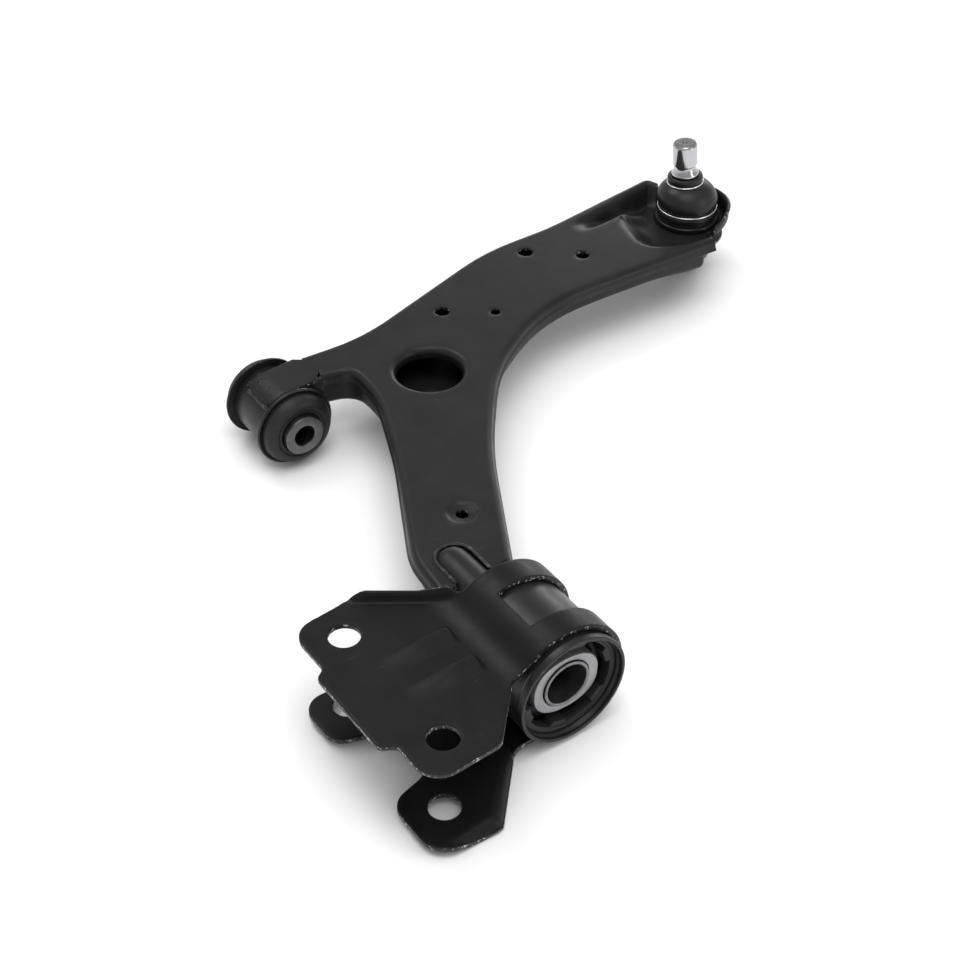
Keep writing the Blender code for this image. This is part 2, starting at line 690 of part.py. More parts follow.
def plate(name, corners, level, window, lift, extra):
    """Bracket plate: flat outline corners, then two straps that wrap the can."""
    y0 = plate_path(level)[2]
    end = strap_u(STRAP_END, level)
    win = strap_u(window, level)
    rows = [u for u in np.arange(end, y0 - 1.0, -6.7)] + [y0]

    def edge(x, lo, hi, rising):
        us = sorted(u for u in rows if lo + 0.6 < u < hi - 0.6)
        return [(x, u) for u in (us if rising else reversed(us))]

    near, far = STRAP_X
    flat = rounded(corners, 16.0, 20.0)
    join_far = flat[0][1]
    join_near = flat[-1][1]
    loop = [tuple(q) for q in flat]
    loop += edge(near[0], join_near, end, True) + [(near[0], end), (near[1], end)]
    loop += edge(near[1], win, end, False) + [(near[1], win), (-33.0, win), (-46.0, win), (far[0], win)]
    loop += edge(far[0], win, end, True) + [(far[0], end), (far[1], end)]
    loop += edge(far[1], join_far, end, False)
    holes = [ring(x, y, BOLT_R, 24) for x, y in zip(BOLT_X, BOLT_Y)]
    more = [(x, u) for u in rows if u < win - 2.0 for x in (-16.0, -26.0, -36.0, -46.0, -56.0, -65.0)]
    v2, tri = fill(np.array(loop), holes, more + extra)
    outer, inner = [], []
    for x, u in v2:
        p, n = plate_point(x, u, level, lift(x, u))
        outer.append(p)
        inner.append(tuple(p[i] - n[i] * PLATE for i in range(3)))
    verts, faces = solid(outer, inner, tri)
    add_mesh(name, verts, faces, BLACK, 0.0, 0.35, joint=REAR)


def edge_gap(x, y, a, b):
    """Distance from the line a-b, positive on the plate's side."""
    dx, dy = b[0] - a[0], b[1] - a[1]
    s = math.hypot(dx, dy)
    return (dx * (y - a[1]) - dy * (x - a[0])) / s


FLANGE_LINE = ((-72.0, -17.5), (-108.5, -72.0))
RIB_X = (-54.0, -28.5)
RIB_Y = (-72.0, -45.0)


def upper_plate():
    corners = [(-72.0, -20.0, 0), (-109.0, -73.0, 6), (-105.0, -113.0, 13), (-71.5, -113.0, 6),
               (-67.0, -119.5, 4), (-7.5, -119.5, 4), (-2.5, -110.8, 4), (29.0, -110.8, 15),
               (26.0, -66.0, 8), (-7.0, -36.0, 5), (-7.0, -29.0, 0)]

    def lift(x, u):
        z = 0.0
        if u < -22.0:
            d = edge_gap(x, u, *FLANGE_LINE)
            along = smooth(-75.0, -66.0, u) * smooth(-24.0, -34.0, u)
            z += 7.0 * smooth(6.5, 0.6, d) * along
        for rx in RIB_X:
            end = max(RIB_Y[0] - u, u - RIB_Y[1], 0.0)
            z += 2.6 * smooth(6.8, 2.2, math.hypot(x - rx, end))
        return z

    extra = []
    a, b = np.array(FLANGE_LINE[0]), np.array(FLANGE_LINE[1])
    d = (b - a) / np.linalg.norm(b - a)
    n = np.array((-d[1], d[0]))
    for off in (3.0, 7.5):
        extra += [tuple(a + d * s + n * off) for s in (10.0, 18.0, 28.0, 38.0, 50.0, 62.0)]
    for rx in RIB_X:
        for off in (2.2, 6.8):
            for y, sign in ((RIB_Y[1], 1.0), (RIB_Y[0], -1.0)):
                for t in (0.0, 45.0, 90.0, 135.0, 180.0):
                    c, s = math.cos(math.radians(t)), math.sin(math.radians(t))
                    extra.append((rx + off * c, y + sign * off * s))
            extra += [(rx - off, y) for y in (-54.0, -63.0)] + [(rx + off, y) for y in (-54.0, -63.0)]
        extra += [(rx, y) for y in (-46.0, -54.0, -63.0, -71.0)]
    plate("bracket_upper_plate", corners, PLATE_TOP - REAR_Z, 109.0, lift, extra)


def lower_plate():
    edge_a, edge_b = (31.0, -68.0), (-7.0, -34.0)
    corners = [(-72.0, -19.0, 0), (-101.0, -72.0, 10), (-102.0, -113.0, 13), (-66.0, -113.0, 12),
               (-58.0, -84.0, 14), (-20.0, -80.0, 12), (-12.0, -110.8, 13), (32.0, -110.8, 15),
               (*edge_a, 5), (*edge_b, 6), (-7.0, -19.0, 0)]

    def lift(x, u):
        if u > -26.0 or u < -92.0:
            return 0.0
        d = edge_gap(x, u, edge_a, edge_b)
        if x > 26.0:
            d = min(d, 31.5 - x)
        return 3.6 * smooth(6.5, 0.4, d) * smooth(-28.0, -38.0, u) * smooth(-90.0, -80.0, u)

    a, b = np.array(edge_a), np.array(edge_b)
    d = (b - a) / np.linalg.norm(b - a)
    n = np.array((-d[1], d[0]))
    extra = [tuple(a + d * s + n * off) for off in (3.2, 7.0) for s in (4.0, 14.0, 24.0, 36.0, 46.0)]
    plate("bracket_lower_plate", corners, PLATE_LOW - REAR_Z, 118.0, lift, extra)


def strap_weld(name, span):
    """Seam that joins the strap ends on the side away from the bolts."""
    r0, r1 = CAN_R + 0.6, STRAP_R + 0.5
    verts, faces = [], []
    xs = np.linspace(span[0] - 0.8, span[1] + 0.8, 5)
    for x in xs:
        for r, a in ((r0, -3.2), (r1 - 0.8, -3.2), (r1, 0.0), (r1 - 0.8, 3.2), (r0, 3.2)):
            t = math.radians(a)
            verts.append((x, r * math.cos(t), REAR_Z + r * math.sin(t)))
    for i in range(4):
        for j in range(5):
            a, b = i * 5 + j, i * 5 + (j + 1) % 5
            faces.append((a, b, b + 5, a + 5))
    faces.append(tuple(range(5)))
    faces.append(tuple(reversed(range(20, 25))))
    add_mesh(name, verts, faces, BLACK, 0.0, 0.45, joint=REAR)


# ---- ball joint -------------------------------------------------------------
UP = (0.0, 0.0, 1.0)
BASE = (BALL[0], BALL[1], 0.0)
REACH = STUD_TOP - BALL[2]
STUD_AXIS = Vector((LEAN[0], LEAN[1], REACH)).normalized()
SEAT_LOW = 9.0                 # shoulder under the ball seat
COVER_BORE = 9.0               # recess for the closing disc


def lean(p):
    """Carry a point of the upright joint over to the stud's rest lean."""
    q = Vector(p) - Vector(BALL)
    turn = Vector(UP).rotation_difference(STUD_AXIS)
    return tuple(Vector(BALL) + turn @ q)


def ball_housing():
    foot = -ROW_SHIFT[2]
    prof = [(10.2, foot), (11.4, foot + 1.2), (11.6, 2.6), (15.4, 5.2), (18.4, 9.2), (20.0, 14.0),
            (20.5, 19.0), (20.5, POCKET_Z + GAP), (23.6, POCKET_Z + GAP), (23.6, 40.2), (22.8, 41.0),
            (20.6, 41.2), (19.8, 42.6), (19.8, 48.5), (18.3, 48.5), (15.4, 41.0), (15.4, 38.6), (17.2, 37.4),
            (17.2, SEAT_LOW + 3.0), (14.4, SEAT_LOW), (7.5, SEAT_LOW), (7.5, 1.5), (COVER_BORE, 1.5),
            (COVER_BORE, foot)]
    v, f = revolve(prof, BASE, UP, 28)
    add_mesh("ball_housing", v, f, BLACK, 0.2, 0.3, joint=BALL)


def ball_seat():
    r = BALL_R + 0.6
    low = SEAT_LOW + GAP
    prof = [(14.2, low), (16.9, low + 3.0), (16.9, BALL[2] + 6.2)]
    for t in range(63, 165, 20):
        a = math.radians(t)
        prof.append((r * math.sin(a), BALL[2] + r * math.cos(a)))
    prof.append((r * math.sin(a), low))
    v, f = revolve(prof, BASE, UP, 24)
    add_mesh("ball_seat", v, f, (0.75, 0.74, 0.7), 0.0, 0.5, joint=BALL)


def housing_cover():
    r = COVER_BORE - GAP
    v, f = revolve([(0.0, -1.3), (r, -1.3), (r, 1.2), (0.0, 1.2)], BASE, UP, 24, close=False)
    add_mesh("housing_cover", v, f, BLACK, 0.2, 0.4, joint=BALL)


def ball_stud():
    prof = [(0.0, BALL[2] - BALL_R)]
    for t in range(165, 40, -14):
        a = math.radians(t)
        prof.append((BALL_R * math.sin(a), BALL[2] + BALL_R * math.cos(a)))
    prof += [(7.6, 40.6), (7.8, 47.0), (9.4, 60.0), (9.4, 73.0), (9.9, 73.4), (9.9, 74.8), (8.4, 77.0),
             (7.5, 79.0), (7.5, 80.4), (8.9, 81.6), (8.9, 96.2), (7.5, STUD_TOP), (1.7, STUD_TOP),
             (0.9, 96.6), (0.0, 95.8)]
    v, f = revolve(prof, BASE, UP, 24, close=False)
    add_mesh("ball_stud", [lean(p) for p in v], f, STEEL, 1.0, 0.2, joint=BALL)


BOOT_OUT = [(21.0, 42.2), (21.7, 43.4), (21.7, 46.6), (20.5, 47.9), (20.5, 49.3), (21.6, 51.5), (21.9, 54.5),
            (21.3, 58.0), (19.6, 61.4), (16.8, 64.4), (11.9, 66.8), (11.9, 68.0), (12.6, 68.7), (12.6, 71.6),
            (11.6, 72.8)]
BOOT_IN = [(9.8, 72.6), (9.8, 66.0), (15.4, 62.4), (18.7, 58.4), (20.0, 54.0), (19.7, 50.6), (20.1, 48.9),
           (20.1, 43.0)]


def dust_boot():
    v, f = revolve(BOOT_OUT + BOOT_IN, BASE, UP, 24)
    out = []
    for p in v:
        w = smooth(50.0, 66.0, p[2])
        q = lean(p)
        out.append(tuple(p[i] + (q[i] - p[i]) * w for i in range(3)))
    add_mesh("dust_boot", out, f, RUBBER, 0.0, 0.45, joint=BALL)


def wire_ring(name, r, z, wire, tilted):
    prof = [(r + wire * math.cos(t), z + wire * math.sin(t)) for t in np.radians(np.arange(0, 360, 60))]
    v, f = revolve(prof, BASE, UP, 24)
    if tilted:
        v = [lean(p) for p in v]
    add_mesh(name, v, f, STEEL, 1.0, 0.25, joint=BALL)


upper_shell()
lower_shell()
front_eye()
front_half("near", EYE_NEAR, 1.0, FRONT_NEAR)
front_half("far", EYE_FAR, -1.0, FRONT_FAR)
front_sleeve()
eye_welds()
rear_pin()
pin_welds()
rear_core()
rear_rubber()
stop_ring()
rear_can()
upper_plate()
lower_plate()
strap_weld("strap_weld_near", STRAP_X[0])
strap_weld("strap_weld_far", STRAP_X[1])
ball_housing()
ball_seat()
housing_cover()
ball_stud()
dust_boot()
wire_ring("boot_lower_clip", 21.4, 48.6, 0.6, False)
wire_ring("boot_upper_clip", 12.8, 67.4, 0.6, True)
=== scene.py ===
"""Looks of the front lower control arm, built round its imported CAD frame."""

import json
import math
import random

import bmesh
import bpy
import numpy as np
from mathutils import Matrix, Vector
from mathutils.geometry import delaunay_2d_cdt


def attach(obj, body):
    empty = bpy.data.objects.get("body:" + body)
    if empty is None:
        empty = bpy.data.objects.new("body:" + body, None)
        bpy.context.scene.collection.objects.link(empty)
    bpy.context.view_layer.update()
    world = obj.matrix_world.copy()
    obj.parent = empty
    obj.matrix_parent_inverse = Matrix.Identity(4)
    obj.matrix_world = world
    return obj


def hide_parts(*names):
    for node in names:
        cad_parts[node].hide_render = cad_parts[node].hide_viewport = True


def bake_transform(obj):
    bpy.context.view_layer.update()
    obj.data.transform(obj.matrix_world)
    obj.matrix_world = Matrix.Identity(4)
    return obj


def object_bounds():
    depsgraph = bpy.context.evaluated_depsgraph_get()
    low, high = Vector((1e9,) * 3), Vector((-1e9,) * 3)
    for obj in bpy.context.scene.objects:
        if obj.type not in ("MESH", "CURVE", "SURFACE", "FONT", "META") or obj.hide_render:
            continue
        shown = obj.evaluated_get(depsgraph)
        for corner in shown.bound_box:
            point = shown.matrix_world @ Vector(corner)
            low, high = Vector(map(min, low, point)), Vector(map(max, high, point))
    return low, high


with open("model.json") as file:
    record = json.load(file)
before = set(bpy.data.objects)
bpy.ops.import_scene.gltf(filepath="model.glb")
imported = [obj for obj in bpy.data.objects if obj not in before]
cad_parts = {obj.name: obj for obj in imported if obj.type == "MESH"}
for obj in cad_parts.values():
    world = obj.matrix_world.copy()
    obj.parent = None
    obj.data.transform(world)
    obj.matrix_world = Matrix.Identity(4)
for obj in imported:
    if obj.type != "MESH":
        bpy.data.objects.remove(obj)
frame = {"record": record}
cad_low, cad_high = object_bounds()
scene = bpy.context.scene

# ---- where things are: design frame in millimetres, rear bush axis on X ------
MM = 0.001
REAR_Z = 35.0
JOINTS = {j["name"]: j for j in frame["record"]["behaviour"]["joints"]}
SHIFT = np.array(JOINTS["rear_bush_twist"]["pos_m"]) / MM - (0.0, 0.0, REAR_Z)


def design(point):
    """Frame metres to design millimetres."""
    return np.array(point) / MM - SHIFT


def row(point):
    """Design millimetres to frame metres."""
    return tuple((np.array(point) + SHIFT) * MM)


REAR = (0.0, 0.0, REAR_Z)
FRONT = design(JOINTS["front_bush_twist"]["pos_m"])
FRONT_Y, FRONT_Z = FRONT[1], FRONT[2]
BALL = design(JOINTS["ball_tilt_x"]["pos_m"])
STUD_AXIS = Vector(JOINTS["stud_spin"]["axis"]).normalized()
UP = (0.0, 0.0, 1.0)
ALONG = (1.0, 0.0, 0.0)

# ---- dimensions, millimetres --------------------------------------------------
SHEET = 2.6
TOP_Z, TOP_SLOPE = 47.5, 0.01463
LIP_DROP, FOLD_R = 7.5, 5.0
FLOOR_LOW, FLOOR_HIGH, FLOOR_DIP = 21.5, 29.5, 4.5
PIN_R, PIN_BORE = 15.0, 13.0
CAN_R, STRAP_R = 34.4, 38.2
BLEND_TOP, BLEND_LOW = 30.0, 10.0
PLATE, PLATE_TOP, PLATE_LOW = 3.5, 58.0, 1.6
BOLT_X, BOLT_Y, BOLT_R = (6.0, -86.0), (-88.5, -91.0), 9.0
EYE_R, EYE_BORE, FLANGE_R = 22.6, 19.8, 27.2
SLEEVE_R, SLEEVE_BORE = 13.6, 7.25
FRONT_NEAR, FRONT_FAR = -286.5, -354.5
EYE_NEAR, EYE_FAR = -301.2, -338.6
BALL_R, STUD_TOP = 13.5, 98.0
POCKET_Z, TIP_R = 37.0, 30.5
POCKET_ZONE = 96.0
WALL_TOP = 5.2
HOUSING_HOLE = 20.8
RUBBER_R = 31.3
SEAT = 0.3
WIRE_R = 0.6


# ---- node helpers -------------------------------------------------------------
class Nodes:
    """Short hand for building a node tree."""

    def __init__(self, tree):
        self.tree = tree
        tree.nodes.clear()

    def add(self, kind, **values):
        node = self.tree.nodes.new(kind)
        for key, value in values.items():
            if key in node.inputs:
                node.inputs[key].default_value = value
            else:
                setattr(node, key, value)
        return node

    def link(self, a, out, b, inp):
        self.tree.links.new(a.outputs[out], b.inputs[inp])
        return b

    def noise(self, coord, scale, detail=3.0, rough=0.5):
        n = self.add("ShaderNodeTexNoise", Scale=scale, Detail=detail, Roughness=rough)
        self.link(coord, coord.outputs[0].name if len(coord.outputs) == 1 else "Object", n, "Vector")
        return n

    def span(self, node, out, a, b, lo, hi):
        m = self.add("ShaderNodeMapRange")
        for key, value in (("From Min", a), ("From Max", b), ("To Min", lo), ("To Max", hi)):
            m.inputs[key].default_value = value
        self.link(node, out, m, "Value")
        return m

    def stretch(self, coord, scale, shift=(0.0, 0.0, 0.0)):
        m = self.add("ShaderNodeMapping")
        m.inputs["Scale"].default_value = scale
        m.inputs["Location"].default_value = shift
        self.link(coord, "Object", m, "Vector")
        return m

    def mix(self, factor, fout, a, b):
        m = self.add("ShaderNodeMix", data_type="RGBA")
        self.link(factor, fout, m, "Factor")
        for slot, value in ((6, a), (7, b)):
            if isinstance(value, tuple):
                m.inputs[slot].default_value = (*value, 1.0)
            else:
                self.tree.links.new(value.outputs[2], m.inputs[slot])
        return m

    def tones(self, noise, a, b, dark, light):
        """Grey that runs from dark to light while the noise goes from a to b."""
        return self.mix(self.span(noise, "Fac", a, b, 0.0, 1.0), "Result", grey(dark), grey(light))

    def bump(self, height, out, strength, distance, base=None):
        b = self.add("ShaderNodeBump", Strength=strength, Distance=distance)
        self.link(height, out, b, "Height")
        if base:
            self.link(base, "Normal", b, "Normal")
        return b

    def surface(self, bsdf, tone, gloss, relief):
        """Join colour, roughness and bump to the shader."""
        self.link(tone, 2, bsdf, "Base Color")
        self.link(gloss, "Result", bsdf, "Roughness")
        self.link(relief, "Normal", bsdf, "Normal")


def grey(v):
    return (v, v, v * 1.02)


def begin(name, metallic=0.0, specular=0.5):
    """New material with its shader joined to the output."""
    mat = bpy.data.materials.new(name)
    mat.use_nodes = True
    t = Nodes(mat.node_tree)
    out = t.add("ShaderNodeOutputMaterial")
    bsdf = t.add("ShaderNodeBsdfPrincipled", Metallic=metallic)
    bsdf.inputs["Specular IOR Level"].default_value = specular
    t.link(bsdf, "BSDF", out, "Surface")
    return mat, t, bsdf, t.add("ShaderNodeTexCoord")


def coat(name, base, rough, peel=0.25, wear=0.5, scuff=0.5, specular=0.26):
    """Black stoved coat on steel: mottled gloss, orange peel, fine scuffs, thin on sharp edges."""
    mat, t, bsdf, coord = begin(name, 0.0, specular)
    tone = t.tones(t.noise(coord, 34.0, 5.0, 0.55), 0.3, 0.7, base * 0.72, base * 1.35)
    scratch = t.noise(t.stretch(coord, (1.0, 0.09, 1.0)), 520.0, 3.0, 0.6)
    scratch_on = t.span(scratch, "Fac", 0.70, 0.76, 0.0, scuff)
    tone = t.mix(scratch_on, "Result", tone, grey(base * 3.0 + 0.02))
    edge = t.span(t.add("ShaderNodeNewGeometry"), "Pointiness", 0.56, 0.66, 0.0, 1.0)
    fleck = t.span(t.noise(coord, 300.0, 4.0, 0.7), "Fac", 0.55, 0.62, 0.0, 1.0)
    worn = t.add("ShaderNodeMath", operation="MULTIPLY")
    t.link(edge, "Result", worn, 0)
    t.link(fleck, "Result", worn, 1)
    tone = t.mix(t.span(worn, "Value", 0.0, 1.0, 0.0, wear), "Result", tone, grey(0.30))
    smear = t.noise(coord, 95.0, 4.0, 0.6)
    wave = t.bump(t.noise(coord, 210.0, 2.0), "Fac", peel * 0.6, 0.00025)
    grain = t.bump(t.noise(coord, 1100.0, 2.0), "Fac", peel, 0.00006, wave)
    t.surface(bsdf, tone, t.span(smear, "Fac", 0.3, 0.7, rough - 0.05, rough + 0.08), grain)
    return mat


def cut_edge(name, base, rough):
    """Sheared edge of a coated plate: coat thin and broken into bright flecks."""
    mat, t, bsdf, coord = begin(name, 0.0, 0.3)
    fleck = t.noise(coord, 420.0, 5.0, 0.7)
    tear = t.noise(t.stretch(coord, (1.0, 1.0, 0.25)), 1500.0, 3.0, 0.6)
    gloss = t.span(fleck, "Fac", 0.4, 0.7, rough, rough - 0.12)
    t.surface(bsdf, t.tones(fleck, 0.56, 0.64, base, 0.55), gloss, t.bump(tear, "Fac", 0.5, 0.0002))
    return mat


def weld_metal(name, base):
    """Coated weld bead: duller than the sheet, with small bright scale."""
    mat, t, bsdf, coord = begin(name, 0.0, 0.3)
    scale = t.noise(coord, 260.0, 5.0, 0.65)
    tone = t.tones(scale, 0.52, 0.66, base, base * 5.0 + 0.02)
    relief = t.bump(t.noise(coord, 900.0, 3.0, 0.6), "Fac", 0.5, 0.0003)
    t.surface(bsdf, tone, t.span(scale, "Fac", 0.35, 0.65, 0.34, 0.52), relief)
    return mat


def rubber(name, base, rough, bloom=0.5):
    """Moulded rubber with a dusty bloom."""
    mat, t, bsdf, coord = begin(name, 0.0, 0.3)
    dust = t.noise(coord, 60.0, 6.0, 0.62)
    dust_on = t.span(dust, "Fac", 0.45, 0.75, 0.0, bloom)
    tone = t.mix(dust_on, "Result", grey(base), grey(base * 2.4 + 0.01))
    flow = t.bump(t.noise(coord, 320.0, 3.0), "Fac", 0.12, 0.0002)
    pore = t.bump(t.noise(coord, 1700.0, 2.0), "Fac", 0.12, 0.0001, flow)
    t.surface(bsdf, tone, t.span(dust, "Fac", 0.35, 0.7, rough - 0.06, rough + 0.1), pore)
    return mat


def turned(name, base, rough, centre, axis, pitch, cut, metallic=1.0):
    """Machined steel with tool rings about an axis."""
    mat, t, bsdf, coord = begin(name, metallic)
    mapped = t.stretch(coord, (1.0, 1.0, 1.0), tuple(-c for c in row(centre)))
    marks = t.add("ShaderNodeTexWave", wave_type="RINGS", rings_direction=axis, Scale=1.0 / pitch)
    marks.inputs["Distortion"].default_value = 0.6
    marks.inputs["Detail Scale"].default_value = 3.0
    t.link(mapped, "Vector", marks, "Vector")
    stain = t.noise(coord, 130.0, 5.0, 0.6)
    gloss = t.span(stain, "Fac", 0.3, 0.7, rough - 0.05, rough + 0.1)
    tone = t.tones(stain, 0.35, 0.7, base * 0.72, base * 1.12)
    t.surface(bsdf, tone, gloss, t.bump(marks, "Fac", cut, 0.00006))
    return mat


def cast(name, base, rough):
    """Sand-blasted cast aluminium."""
    mat, t, bsdf, coord = begin(name, 0.85)
    grain = t.noise(coord, 850.0, 5.0, 0.6)
    tone = t.tones(t.noise(coord, 70.0, 4.0, 0.55), 0.35, 0.7, base * 0.8, base * 1.1)
    tone = t.mix(t.span(grain, "Fac", 0.58, 0.72, 0.0, 0.55), "Result", tone, grey(base * 0.45))
    gloss = t.span(grain, "Fac", 0.3, 0.7, rough - 0.06, rough + 0.1)
    t.surface(bsdf, tone, gloss, t.bump(grain, "Fac", 0.45, 0.0002))
    return mat


def plain_metal(name, base, rough, lines=(1.0, 1.0, 1.0), cut=0.1):
    """Ground or drawn metal with fine lines along one direction."""
    mat, t, bsdf, coord = begin(name, 1.0)
    line = t.noise(t.stretch(coord, lines), 900.0, 3.0, 0.6)
    gloss = t.span(line, "Fac", 0.3, 0.7, rough - 0.03, rough + 0.06)
    tone = t.tones(line, 0.3, 0.7, base * 0.9, base * 1.04)
    t.surface(bsdf, tone, gloss, t.bump(line, "Fac", cut, 0.00005))
    return mat


ARM_COAT = coat("arm_coat", 0.008, 0.38)
LOW_COAT = coat("lower_coat", 0.007, 0.40)
# Painted shade: the bracket plates use a darker, duller copy of the arm's black coat, so that they read
# darker than the arm, as they do in darker reflections.
PLATE_COAT_SHADED = coat("plate_coat_shaded", 0.0055, 0.38, peel=0.3, wear=0.6, scuff=0.5, specular=0.18)
CAN_COAT = coat("can_coat", 0.008, 0.34, peel=0.2, wear=0.5, scuff=0.9, specular=0.35)
EYE_COAT = coat("eye_coat", 0.008, 0.34, peel=0.4, wear=0.6, scuff=0.8, specular=0.28)
HOUSING_COAT = coat("housing_coat", 0.007, 0.25, peel=0.15, wear=0.25, scuff=0.3)
ARM_EDGE = cut_edge("arm_edge", 0.012, 0.42)
PLATE_EDGE = cut_edge("plate_edge", 0.010, 0.4)
WELD = weld_metal("weld_bead", 0.010)
PIN_STEEL = coat("pin_coat", 0.009, 0.36, peel=0.3, wear=0.6, scuff=0.8)
PIN_RIM = turned("pin_rim", 0.24, 0.36, REAR, "X", 0.004, 0.1)
# Painted shade: the inside of the pin's bore gets a very dark base colour that stands for the shadow in the
# tube; its tool rings and stains are its own.
PIN_BORE_SHADE = turned("pin_bore_shade", 0.07, 0.42, REAR, "X", 0.004, 0.1, 0.7)
BUSH_RUBBER = rubber("bush_rubber", 0.010, 0.5)
BOOT_RUBBER = rubber("boot_rubber", 0.008, 0.38, 0.3)
STOP_PLASTIC = rubber("stop_plastic", 0.012, 0.46, 0.3)
CORE = cast("core_metal", 0.36, 0.48)
SLEEVE = turned("sleeve_steel", 0.15, 0.36, FRONT, "X", 0.012, 0.35)
STUD = plain_metal("stud_steel", 0.5, 0.15, (1.0, 1.0, 0.02), 0.05)
STUD_END = turned("stud_end", 0.22, 0.42, BALL, "Z", 0.02, 0.3)
CLIP = plain_metal("clip_steel", 0.82, 0.18)
SEAT_PLASTIC = rubber("seat_plastic", 0.45, 0.45, 0.2)


# ---- mesh helpers -------------------------------------------------------------
def piece(name, verts, faces, mats, body, nodes=(), sharp=40.0, tags=None):
    """One object from design millimetres; faces take the material index in tags."""
    mesh = bpy.data.meshes.new(name)
    mesh.from_pydata([row(v) for v in verts], [], [tuple(int(i) for i in f) for f in faces])
    mats = mats if isinstance(mats, (list, tuple)) else [mats]
    for mat in mats:
        mesh.materials.append(mat)
    if tags is not None:
        mesh.polygons.foreach_set("material_index", tags)
    bm = bmesh.new()
    bm.from_mesh(mesh)
    bmesh.ops.remove_doubles(bm, verts=bm.verts, dist=1e-7)
    bmesh.ops.recalc_face_normals(bm, faces=bm.faces)
    bm.to_mesh(mesh)
    bm.free()
    mesh.polygons.foreach_set("use_smooth", [True] * len(mesh.polygons))
    mesh.set_sharp_from_angle(angle=math.radians(sharp))
    obj = bpy.data.objects.new(name, mesh)
    scene.collection.objects.link(obj)
    if body:
        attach(obj, body)
    if nodes:
        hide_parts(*nodes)
    return obj


def smooth(a, b, t):
    """Eased step from 0 at a to 1 at b."""
    t = min(1.0, max(0.0, (t - a) / (b - a)))
    return t * t * (3.0 - 2.0 * t)


def bell(t, centre, width):
    return math.exp(-(((t - centre) / width) ** 2))


def rounded(corners, step=4.0, turn=5.0, closed=False):
    """Path through (x, y, radius) corners, each corner an arc, straights cut to the step."""
    n = len(corners)
    pts = []
    for i, (x, y, r) in enumerate(corners):
        here = np.array((x, y), float)
        if (not closed and i in (0, n - 1)) or r <= 0.0:
            pts.append(here)
            continue
        a = np.array(corners[i - 1][:2], float) - here
        b = np.array(corners[(i + 1) % n][:2], float) - here
        a /= np.linalg.norm(a)
        b /= np.linalg.norm(b)
        half = math.acos(max(-1.0, min(1.0, float(a @ b)))) / 2.0
        reach = r / math.tan(half)
        cen = here + (a + b) / np.linalg.norm(a + b) * (r / math.sin(half))
        p0, p1 = here + a * reach - cen, here + b * reach - cen
        a0 = math.atan2(p0[1], p0[0])
        sweep = (math.atan2(p1[1], p1[0]) - a0 + math.pi) % (2 * math.pi) - math.pi
        k = max(1, int(math.ceil(max(abs(math.degrees(sweep)) / turn, min(8.0, abs(sweep) * r) * 0.5))))
        for j in range(k + 1):
            t = a0 + sweep * j / k
            pts.append(cen + r * np.array((math.cos(t), math.sin(t))))
    if closed:
        pts.append(pts[0])
    out = [pts[0]]
    for p in pts[1:]:
        d = np.linalg.norm(p - out[-1])
        if d < 0.02:
            continue
        k = max(1, int(math.ceil(d / step)))
        start = out[-1]
        out.extend(start + (p - start) * j / k for j in range(1, k + 1))
    return np.array(out[:-1] if closed else out)


def inward(path):
    """Unit normals on the left of the path's direction."""
    t = np.gradient(path, axis=0)
    t /= np.linalg.norm(t, axis=1)[:, None]
    return np.c_[-t[:, 1], t[:, 0]]


def ring(cx, cy, r, n, a0=0.0, a1=360.0):
    """Points on a circle, or on an arc with both ends."""
    k = n if abs(a1 - a0) > 359.0 else n - 1
    a = np.radians(a0 + (a1 - a0) * np.arange(n) / k)
    return np.c_[cx + r * np.cos(a), cy + r * np.sin(a)]


def circle(r, n):
    return ring(0.0, 0.0, r, n)


def arc(cx, cy, r, a0, a1, n):
    return [tuple(q) for q in ring(cx, cy, r, n, a0, a1)]


def inside(p, loop):
    """True where the point is inside the closed loop."""
    x, y = p
    x0, y0 = loop[:, 0], loop[:, 1]
    x1, y1 = np.roll(x0, -1), np.roll(y0, -1)
    hit = (y0 > y) != (y1 > y)
    den = np.where(np.abs(y1 - y0) < 1e-12, 1e-12, y1 - y0)
    return bool(np.count_nonzero(hit & (x < (x1 - x0) * (y - y0) / den + x0)) % 2)


def gap_to(p, path):
    """Distance from a point to a path."""
    a, b = path[:-1], path[1:]
    d = b - a
    t = np.clip(np.sum((p - a) * d, axis=1) / np.sum(d * d, axis=1), 0.0, 1.0)
    return float(np.min(np.linalg.norm(a + d * t[:, None] - p, axis=1)))


def fill(outer, holes, step, extra=(), clear=1.6):
    """Triangles of a plane region with holes, on a staggered lattice of points."""
    pts, edges = [], []
    for loop in [outer] + holes:
        s = len(pts)
        pts += [tuple(q) for q in loop]
        edges += [(s + i, s + (i + 1) % len(loop)) for i in range(len(loop))]
    closed = [np.vstack([q, q[:1]]) for q in [outer] + holes]
    lo, hi = outer.min(axis=0), outer.max(axis=0)
    lattice = [tuple(q) for q in extra]
    kept = np.array(lattice) if lattice else np.array([lo - 99.0])
    for j, y in enumerate(np.arange(lo[1], hi[1], step * 0.87)):
        for x in np.arange(lo[0] + (j % 2) * step / 2.0, hi[0], step):
            if np.min(np.hypot(kept[:, 0] - x, kept[:, 1] - y)) > step * 0.5:
                lattice.append((x, y))
    for q in lattice:
        q = np.array(q, float)
        if not inside(q, outer) or any(inside(q, h) for h in holes):
            continue
        if min(gap_to(q, c) for c in closed) > clear:
            pts.append(tuple(q))
    v, _, f, *_ = delaunay_2d_cdt([Vector(q) for q in pts], edges, [], 0, 1e-5)
    v = np.array([(q.x, q.y) for q in v])
    keep = []
    for tri in f:
        c = v[list(tri)].mean(axis=0)
        if inside(c, outer) and not any(inside(c, h) for h in holes):
            keep.append(tuple(tri))
    return v, keep


